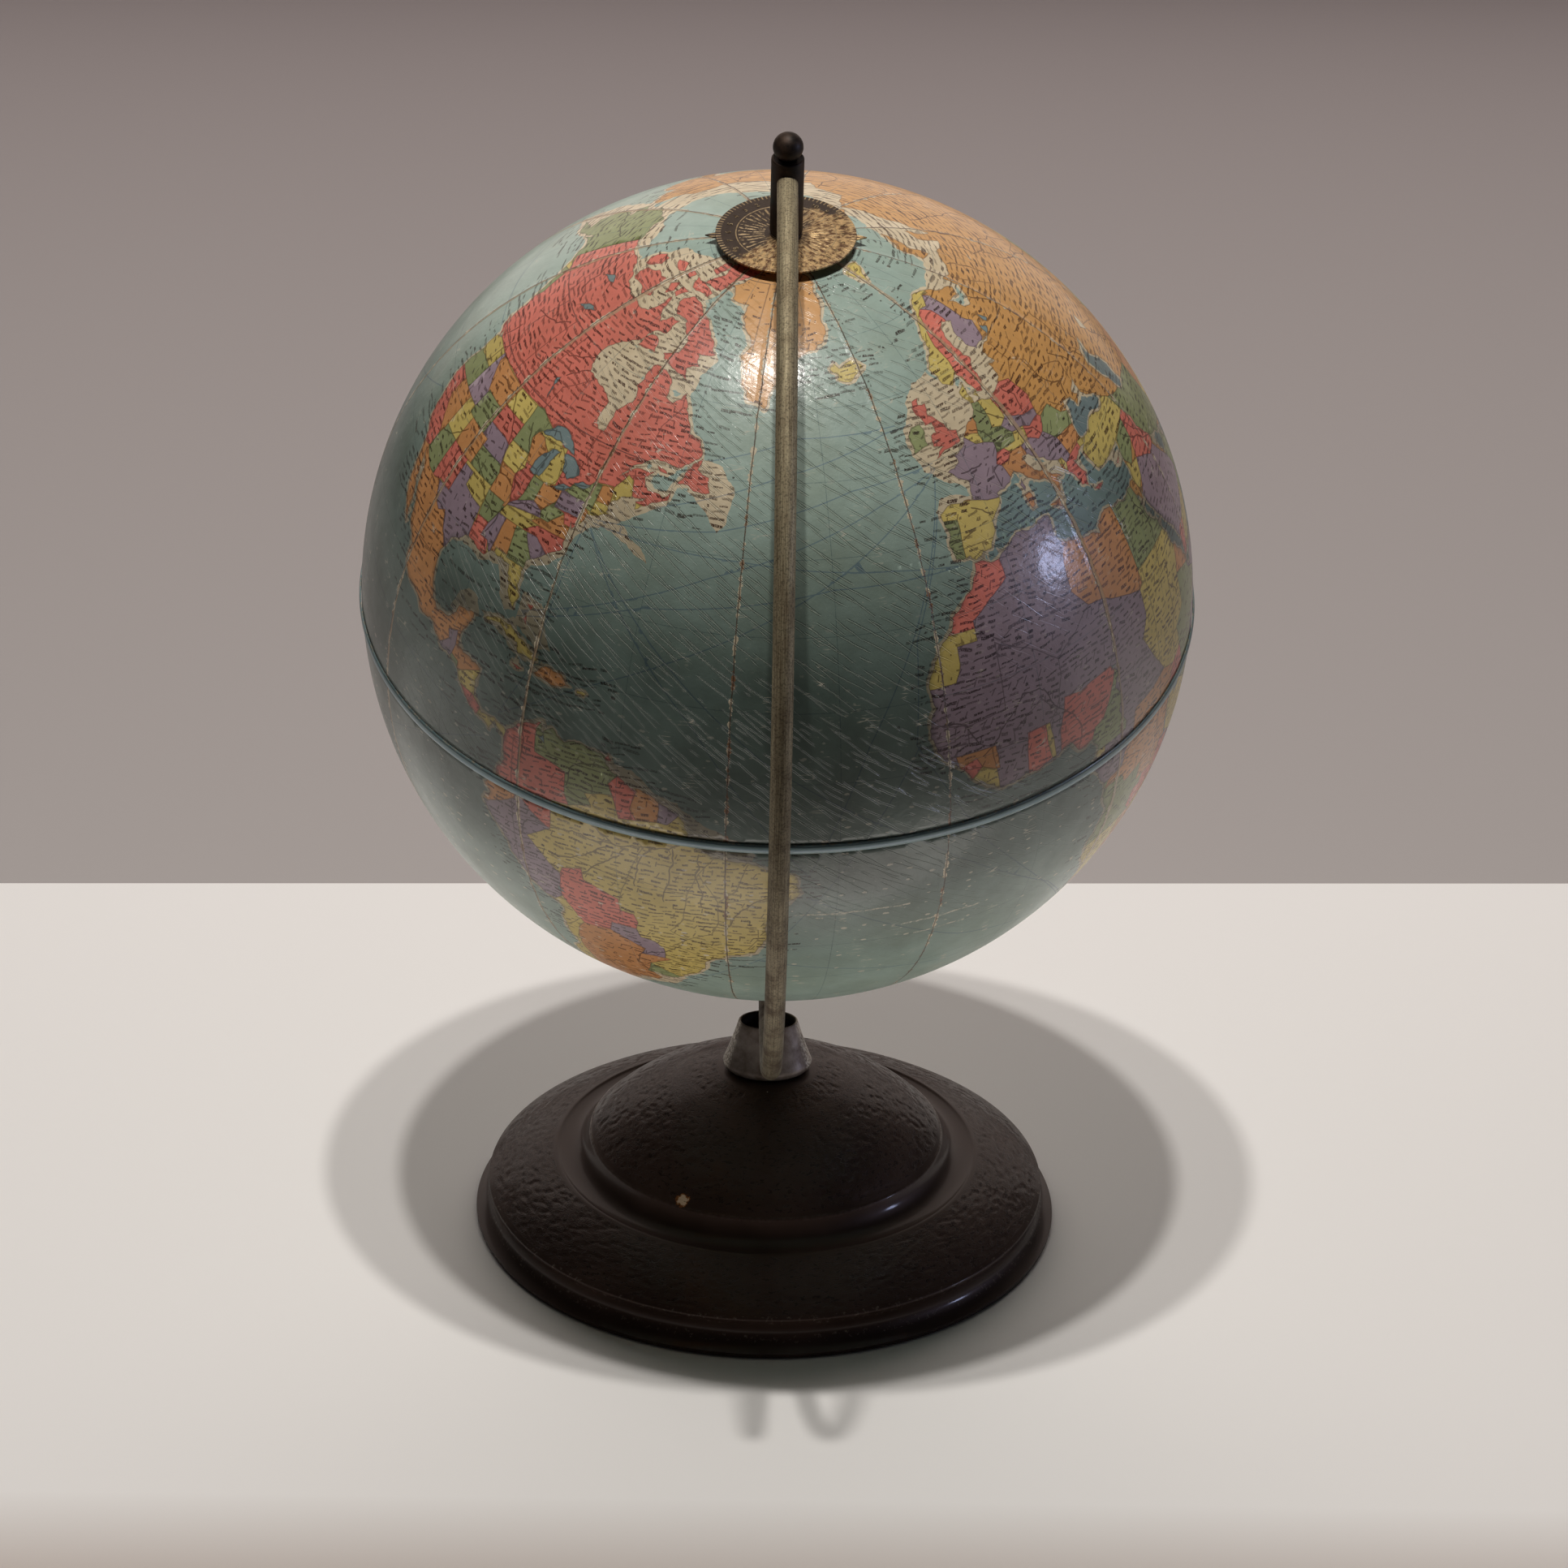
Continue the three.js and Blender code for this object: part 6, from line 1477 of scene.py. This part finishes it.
# %% Cracks in the varnish: two sets of straight slanting lines, broken off at random; each has a dark line and a pale edge that is partly a painted highlight
crack_line, crack_highlight_edge = 0.0, 0.0
for slant, pitch in ((math.radians(-33), 2.9), (math.radians(-41), 4.3)):
    along = add("VectorMath", (flat_place, (math.cos(slant), math.sin(slant), 0)),
                "DOT_PRODUCT").outputs["Value"]
    across = add("VectorMath", (flat_place, (-math.sin(slant), math.cos(slant), 0)),
                 "DOT_PRODUCT").outputs["Value"]
    bowed = add("Math", (broad, 3.0, across), "MULTIPLY_ADD")
    number = add("Math", (bowed, 1 / pitch), "MULTIPLY")
    whole = add("Math", (number,), "FLOOR")
    off = add("TexWhiteNoise", (whole,), noise_dimensions="1D").outputs["Value"]
    part = add("Math", (add("Math", (number,), "FRACT"), add("MapRange", (off, 0, 1, 0.2, 0.8))), "SUBTRACT")
    gap = product(add, part, pitch)
    run_place = add("VectorMath", (add("CombineXYZ", (along, whole)), (1 / 16, 7.7, 0)), "MULTIPLY")
    run = add("TexNoise", (run_place, 1.0, 2.0), noise_dimensions="2D")
    kept = add("MapRange", (run, 0.47, 0.53))
    dark_side = add("MapRange", (add("Math", (gap,), "ABSOLUTE"), 0.2, 0.08))
    highlight_side = add("MapRange", (add("Math", (add("Math", (gap, 0.3), "ADD"),), "ABSOLUTE"), 0.2, 0.08))
    crack_line = add("Math", (product(add, dark_side, kept), crack_line), "MAXIMUM")
    crack_highlight_edge = add("Math", (product(add, highlight_side, kept), crack_highlight_edge), "MAXIMUM")

# %% They are deepest in front and in the north, where the lamps' highlight falls, and show less on land; their pale edge is partly a painted highlight
facing = add("MapRange", (add("Math", (angle,), "COSINE"), 0.1, 0.85))
northern = add("MapRange", (north, -30.0, 70.0, 0.25, 1.0))
land_share = add("MapRange", (coast, -6.0, 4.0, 0.12, 1.0))
crack_zone = product(add, facing, northern, land_share)
crack_ink = add("Math", (crack_line, add("Math", (crack_zone, 0.32), "MULTIPLY")), "MULTIPLY")
crack_painted_highlight = add("Math", (crack_highlight_edge, add("Math", (crack_zone, 0.17), "MULTIPLY")), "MULTIPLY")
cracked = add("Mix", (crack_ink, belt_shaded, paint("#39473f")), "RGBA")
crazed_and_highlit = add("Mix", (crack_painted_highlight, cracked, paint("#d3d3bf")), "RGBA")

# %% Pale scuffs: flecks drawn out from west to east, and short thin scratches
fleck_place = add("VectorMath", (flat_place, (1 / 8, 1 / 3.6, 0)), "MULTIPLY")
fleck_cells = add("TexVoronoi", (fleck_place, 1.0), voronoi_dimensions="2D")
fleck_chance = add("SeparateXYZ", (fleck_cells.outputs["Color"],)).outputs
fleck_size = add("MapRange", (fleck_chance[0], 0.6, 1.0, 0.0, 0.17))
fleck_wobble = add("MapRange", (fine, 0.3, 0.7, -0.09, 0.09))
fleck_edge = add("Math", (add("Math", (fleck_size, fleck_wobble), "ADD"), fleck_cells.outputs["Distance"]),
                 "SUBTRACT")
southern = add("MapRange", (north, 60.0, -50.0, 0.12, 0.75))
fleck = add("Math", (add("MapRange", (fleck_edge, 0.0, 0.03)), southern), "MULTIPLY")
scratch_place = add("Mapping", {"Vector": flat_place, "Rotation": (0, 0, math.radians(-62)),
                                "Scale": (1 / 14, 1 / 1.6, 1)})
scratch_cells = add("TexVoronoi", (scratch_place, 1.0), feature="DISTANCE_TO_EDGE", voronoi_dimensions="2D")
scratch_line = add("MapRange", (scratch_cells, 0.06, 0.02))
scratch = add("Math", (scratch_line, add("MapRange", (middling, 0.60, 0.68, 0.0, 0.7))), "MULTIPLY")
scuff = add("Math", (fleck, scratch), "MAXIMUM")

# %% Three long scuffs east of the arm, 12, 17 and 20 degrees south, where a hand turned it
for south, start, end in ((12.5, 6, 48), (17.0, 45, 76), (20.0, 50, 70)):
    height = add("Math", (north, math.radians(south) * GLOBE_RADIUS), "ADD")
    swayed = add("Math", (add("Math", (middling, 2.4, height), "MULTIPLY_ADD"), 1.2), "SUBTRACT")
    thin = add("MapRange", (add("Math", (swayed,), "ABSOLUTE"), 0.55, 0.2))
    run = add("Math", (add("Math", (east, start), "GREATER_THAN"), add("Math", (east, end), "LESS_THAN")),
              "MULTIPLY")
    patchy = add("MapRange", (fine, 0.42, 0.58, 0.1, 0.85))
    long_scuff = product(add, thin, run, patchy)
    scuff = add("Math", (scuff, long_scuff), "MAXIMUM")
scuffed = add("Mix", (scuff, crazed_and_highlit, paint("#d9d2bf")), "RGBA")

# %% Seams of the gores, every 30 degrees: one sheet laps the next, and its edge is torn
seam_turn = add("Math", (angle, 6 / math.pi, 6.9 / 30 + 0.5), "MULTIPLY_ADD")
SEAM_SEED = 276.0
seam_number = add("Math", (add("Math", (seam_turn,), "FLOOR"), SEAM_SEED), "ADD")
seam_chance = add("TexWhiteNoise", (seam_number,), noise_dimensions="1D").outputs["Value"]
seam_part = in_step(add, seam_turn)
seam_side = add("Math", (product(add, seam_part, reach), math.pi / 6), "MULTIPLY")
seam_wander = add("MapRange", (middling, 0.3, 0.7, -0.25, 0.25))
seam_reach = add("Math", (seam_side, seam_wander), "ADD")
seam_gap = add("Math", (seam_reach,), "ABSOLUTE")
lap_width = add("Math", (seam_chance, add("MapRange", (broad, 0.35, 0.6, 0.7, 2.2))), "MULTIPLY")
lap_edge = add("MapRange", (add("Math", (lap_width, seam_reach), "SUBTRACT"), 0.0, 0.25))
lap = add("Math", (lap_edge, add("MapRange", (seam_reach, -0.1, 0.1, 0.0, 0.7))), "MULTIPLY")
lapped = add("Mix", (lap, scuffed, paint("#b59a7a")), "RGBA")
torn_noise = add("TexNoise", (local, 1 / 3.2, 5.0, 0.7))
torn_width = add("MapRange", (torn_noise, 0.44, 0.72, 0.0, 1.5))
torn = add("MapRange", (add("Math", (torn_width, seam_gap), "SUBTRACT"), 0.0, 0.12))
torn_tone = two_tones(add, middling, 0.42, 0.48, "#8a6444", "#d9ccb0")
torn_map = add("Mix", (torn, lapped, torn_tone), "RGBA")
seam_line = add("MapRange", (seam_gap, 0.34, 0.12, 0.0, 0.8))
seamed = add("Mix", (seam_line, torn_map, paint("#4a3829")), "RGBA")

# %% Height and shine of the paper
seam_ridge = add("MapRange", (seam_gap, 1.8, 0.0))
paper_height = add("Math", (seam_ridge, 1.4, add("Math", (torn, lap_edge), "ADD")), "MULTIPLY_ADD")
crack_height = add("Math", (add("Math", (crack_highlight_edge, crack_line), "SUBTRACT"), crack_zone), "MULTIPLY")
under = add("Bump", {"Height": paper_height, "Strength": 0.4, "Distance": 0.00025})
over = add("Bump", {"Height": crack_height, "Strength": 0.7, "Distance": 0.00014, "Normal": under})
waves = add("Bump", {"Height": middling, "Strength": 0.35, "Distance": 0.0008, "Normal": over})
fibres = add("Bump", {"Height": fine, "Strength": 0.3, "Distance": 0.00012, "Normal": waves})
shine = add("MapRange", (broad, 0.3, 0.7, 0.40, 0.54))
dull = add("Mix", (scuff, shine, 0.75), "FLOAT")
drive(shader, Base_Color=seamed, Roughness=dull, Normal=fibres, Coat_Normal=waves)
print("map paper nodes:", len(shader.id_data.nodes))

# %% [markdown]
# ## The two board shells
# Pressed board, two and a half millimetres thick. A Solidify modifier gives the wrapped sheet
# its wall inwards, and closes it at the equator and round the pole's hole.

# %% Give each half its wall
for name, half in (("north", north_half), ("south", south_half)):
    shell = finished(f"{name}_map_half", half, "globe", paper, [f"{name}_hemisphere"], NORTH,
                     sharp=180)
    wall = shell.modifiers.new("board", "SOLIDIFY")
    wall.thickness, wall.offset = WALL * MM, -1.0

# %% [markdown]
# ## The tape over the joint
# A strip of blue grey paper hides the joint at the equator. It was pasted over the ridge where
# the halves meet, so it is slightly crowned. It carries the dark line of the equator near its
# upper edge and a lighter blue one under it, and its edges are worn.

# %% Blue grey pasted tape
tape_finish, add, shader = new_finish("pasted_paper_tape", Roughness=0.42, Coat_Weight=0.35,
                                      Coat_Roughness=0.2)
local, _, _, up = axis_millimetres(add)
tape_cloud = add("TexNoise", (local, 1 / 12, 4.0, 0.6))
tape_fine = add("TexNoise", (local, 1 / 1.2, 3.0))
tape_tone = two_tones(add, tape_cloud, 0.3, 0.7, "#6f8a8c", "#88a3a6")
sway = add("MapRange", (tape_cloud, 0.3, 0.7, -0.25, 0.25))
height = add("Math", (up, sway), "ADD")
dark_gap = gap_from(add, height, 1.25)
dark_line = add("MapRange", (dark_gap, 0.36, 0.16, 0.0, 0.8))
light_gap = gap_from(add, height, -0.3)
light_line = add("MapRange", (light_gap, 0.8, 0.3, 0.0, 0.55))
tape_blue = add("Mix", (light_line, tape_tone, paint("#7fa0b4")), "RGBA")
tape_lined = add("Mix", (dark_line, tape_blue, paint("#3a4c55")), "RGBA")
edge_gap = add("Math", (add("Math", (up,), "ABSOLUTE"), 1.5), "SUBTRACT")
edge_wear = add("MapRange", (edge_gap, 0.0, 0.45))
edge_spots = add("MapRange", (tape_fine, 0.50, 0.62))
edge_worn = product(add, edge_wear, edge_spots)
tape_colour = add("Mix", (edge_worn, tape_lined, paint("#b8ad92")), "RGBA")
tape_bump = add("Bump", {"Height": tape_cloud, "Strength": 0.5, "Distance": 0.0004})
tape_grain = add("Bump", {"Height": tape_fine, "Strength": 0.25, "Distance": 0.0001, "Normal": tape_bump})
drive(shader, Base_Color=tape_colour, Normal=tape_grain)

# %% Turn the tape
crown_line = curve_points([(152.72, -2.0), (153.3, -1.5), (153.55, 0.0), (153.3, 1.5), (152.72, 2.0)], 10)
bm = turned([(152.62, -2.0), *crown_line, (152.62, 2.0)], 360)
finished("joint_tape", bm, "globe", tape_finish, ["equator_tape"], NORTH, sharp=60)

# %% [markdown]
# ## The pieces that keep their first shape
# Washers, plates, bushes, blocks, board, felt and the pointer's plate are right as they are in
# the frame, and mostly hidden. They only need their finishes.

# %% Turned brass, spring steel, pine, board and felt
def plain_finish(name, grain, tones, relief=None, **constants):
    material, add, shader = new_finish(name, **constants)
    pattern = add("TexNoise", (stand_millimetres(add), *grain))
    drive(shader, Base_Color=two_tones(add, pattern, *tones))
    if relief:
        strength, depth = relief
        bump = add("Bump", {"Height": pattern, "Strength": strength, "Distance": depth})
        drive(shader, Normal=bump)
    return material


brass = plain_finish("turned_brass_bare", (1 / 1.5, 4.0), (0.35, 0.65, "#8a7240", "#b89b5c"),
                     Metallic=1.0, Roughness=0.35)
steel = plain_finish("blued_spring_steel", (1 / 1.1, 4.0), (0.35, 0.65, "#5d5a58", "#8b8884"),
                     Metallic=1.0, Roughness=0.38)
board = plain_finish("grey_pulp_board", (1 / 0.8, 5.0, 0.7), (0.35, 0.68, "#6f6353", "#988b76"),
                     (0.4, 0.0002), Roughness=0.9)
felt = plain_finish("green_wool_felt", (1 / 0.6, 6.0, 0.75), (0.3, 0.7, "#26332a", "#4a5c4a"),
                    (0.6, 0.0003), Roughness=0.95, Sheen_Weight=0.5, Sheen_Roughness=0.5)
pine, add, shader = new_finish("turned_pine", Roughness=0.7)
pine_place = add("Mapping", {"Vector": stand_millimetres(add), "Scale": (0.4, 0.4, 0.04)})
pine_rings = add("TexWave", {"Vector": pine_place, "Scale": 1.0, "Distortion": 2.5, "Detail": 3.0},
                 wave_type="RINGS", rings_direction="Z")
pine_tone = add("Mix", (pine_rings, paint("#9c7442"), paint("#c9a56c")), "RGBA")
drive(shader, Base_Color=pine_tone)

# %% Give the frame's own pieces their finishes
kept_pieces = {"board": (board, "base_cover_board joining_ring"), "felt": (felt, "felt_pad"),
               "steel": (steel, "clamp_screw spreader_plate screw_washer lock_washer dial_spring_washer"),
               "brass": (brass, "south_thrust_washer north_pole_bush south_pole_bush"),
               "pine": (pine, "north_pole_block south_pole_block"), "etched brass": (etched, "hour_pointer")}
for material, names in kept_pieces.values():
    for name in names.split():
        for slot in frame["nodes"][name].material_slots:
            slot.material = material
print("finishes for kept pieces:", ", ".join(kept_pieces))

# %% [markdown]
# ## Table, light and camera
# The globe stands on a white table top, with a grey sheet beyond it. Two soft lamps hang almost
# overhead, a hand's breadth to either side, so every shadow on the table is double. A pale wall
# beyond the sheet fills the shadows and lays a dull sheen on the enamel, and the table throws
# light back up onto the southern half. A small cool glint comes from far to the right. The
# table's front edge and the far grey carry painted shade, and for bounced light the table is
# dark from a little in front of the stand, in place of a dark room.

# %% The table and the grey beyond it
bm = bmesh.new()
bmesh.ops.create_grid(bm, x_segments=1, y_segments=1, size=8.0)
mesh = bpy.data.meshes.new("table_top")
bm.to_mesh(mesh)
bm.free()
table_top = bpy.data.objects.new("table_top", mesh)
bpy.context.scene.collection.objects.link(table_top)
table_finish, add, shader = new_finish("white_table_and_grey_sheet", Roughness=0.75)
place = add("TexCoord")
table_x, table_y, _ = add("SeparateXYZ", (place.outputs["Object"],)).outputs
SHEET_EDGE = 0.272
table_edge = add("Math", (table_x, 0.03, SHEET_EDGE), "MULTIPLY_ADD")
beyond = add("Math", (table_y, table_edge), "GREATER_THAN")
# painted shade: the grey sheet darkens further back
painted_falloff = add("MapRange", (table_y, SHEET_EDGE, 1.5))
grey = add("Mix", (painted_falloff, paint("#a6a1a0"), paint("#6c6566")), "RGBA")
table_colour = add("Mix", (beyond, paint("#ecebea"), grey), "RGBA")
# painted shade: the table darkens towards its front edge
front_shade = add("MapRange", (table_y, -0.205, -0.27, 0.0, 0.8))
table_shaded = add("Mix", (front_shade, table_colour, paint("#ad9c91")), "RGBA")
ray = add("LightPath")
# painted shade for bounced light: rays other than the camera's find the table dark from 0.26 m in front, in
# place of a dark room; the camera still sees it white
near = add("MapRange", (table_y, -0.26, -0.31))
unseen = add("Math", (near, add("Math", (1.0, ray.outputs["Is Camera Ray"]), "SUBTRACT")), "MULTIPLY")
table_bounce_shaded = add("Mix", (unseen, table_shaded, paint("#3a3633")), "RGBA")
drive(shader, Base_Color=table_bounce_shaded)
mesh.materials.append(table_finish)

# %% Two lamps overhead, a cool glint, the glow of wall and table, and the room
def soft_lamp(name, place, aim, size, power, colour):
    lamp = bpy.data.lights.new(name, "AREA")
    lamp.shape, lamp.size, lamp.energy, lamp.color = "DISK", size, power, paint(colour)[:3]
    holder = bpy.data.objects.new(name, lamp)
    holder.location = place
    holder.rotation_euler = (Vector(aim) - Vector(place)).to_track_quat("-Z", "Y").to_euler()
    bpy.context.scene.collection.objects.link(holder)
    return holder


soft_lamp("lamp_left", (-0.262, -0.35, 3.15), (0, 0, 0.1), 0.095, 28.5, "#fffaf4")
soft_lamp("lamp_right", (0.055, -0.35, 3.15), (0, 0, 0.1), 0.095, 28.5, "#fffaf4")
cool_glint = soft_lamp("cool_glint", (2.6, -0.38, 0.75), (0, 0, 0.3), 0.32, 12.0, "#c9d4ff")
wall_glow = soft_lamp("wall_glow", (0, 1.6, 0.95), (0, 0, 0.95), 1.6, 21.0, "#fff4ee")
wall_sheen = soft_lamp("wall_sheen", (0, 1.75, 0.95), (0, 0, 0.95), 1.6, 9.0, "#ffefe6")
table_glow = soft_lamp("table_glow", (0, -0.24, 0.004), (0, -0.24, 1), 0.12, 0.34, "#fff6f0")
for glow, wide in ((wall_glow, 2.6), (wall_sheen, 2.6), (table_glow, 0.6)):
    glow.data.shape, glow.data.size_y, glow.data.size = "RECTANGLE", glow.data.size, wide
    glow.visible_camera = False
wall_glow.visible_glossy = False
cool_glint.visible_diffuse = False
world = bpy.data.worlds.new("room")
bpy.context.scene.world = world
world.use_nodes = True
room = next(node for node in world.node_tree.nodes if node.type == "BACKGROUND")
room.inputs["Color"].default_value, room.inputs["Strength"].default_value = paint("#fffaf6"), 0.018

# %% The camera, a little above and almost square in front
camera = bpy.data.cameras.new("camera")
camera.sensor_width, camera.lens = 36.0, 130.4
viewer = bpy.data.objects.new("camera", camera)
turn, tip, roll = math.radians(0.97), math.radians(26.38), math.radians(-1.25)
ahead = Vector((math.sin(turn) * math.cos(tip), math.cos(turn) * math.cos(tip), -math.sin(tip)))
level = Vector((math.cos(turn), -math.sin(turn), 0))
below = ahead.cross(level)
right = math.cos(roll) * level + math.sin(roll) * below
below = -math.sin(roll) * level + math.cos(roll) * below
turned_to = Matrix((right, -below, -ahead)).transposed().to_4x4()
viewer.matrix_world = Matrix.Translation((-0.02816, -1.90242, 1.12658)) @ turned_to
bpy.context.scene.collection.objects.link(viewer)
bpy.context.scene.camera = viewer
bpy.context.scene.view_settings.view_transform = "Standard"
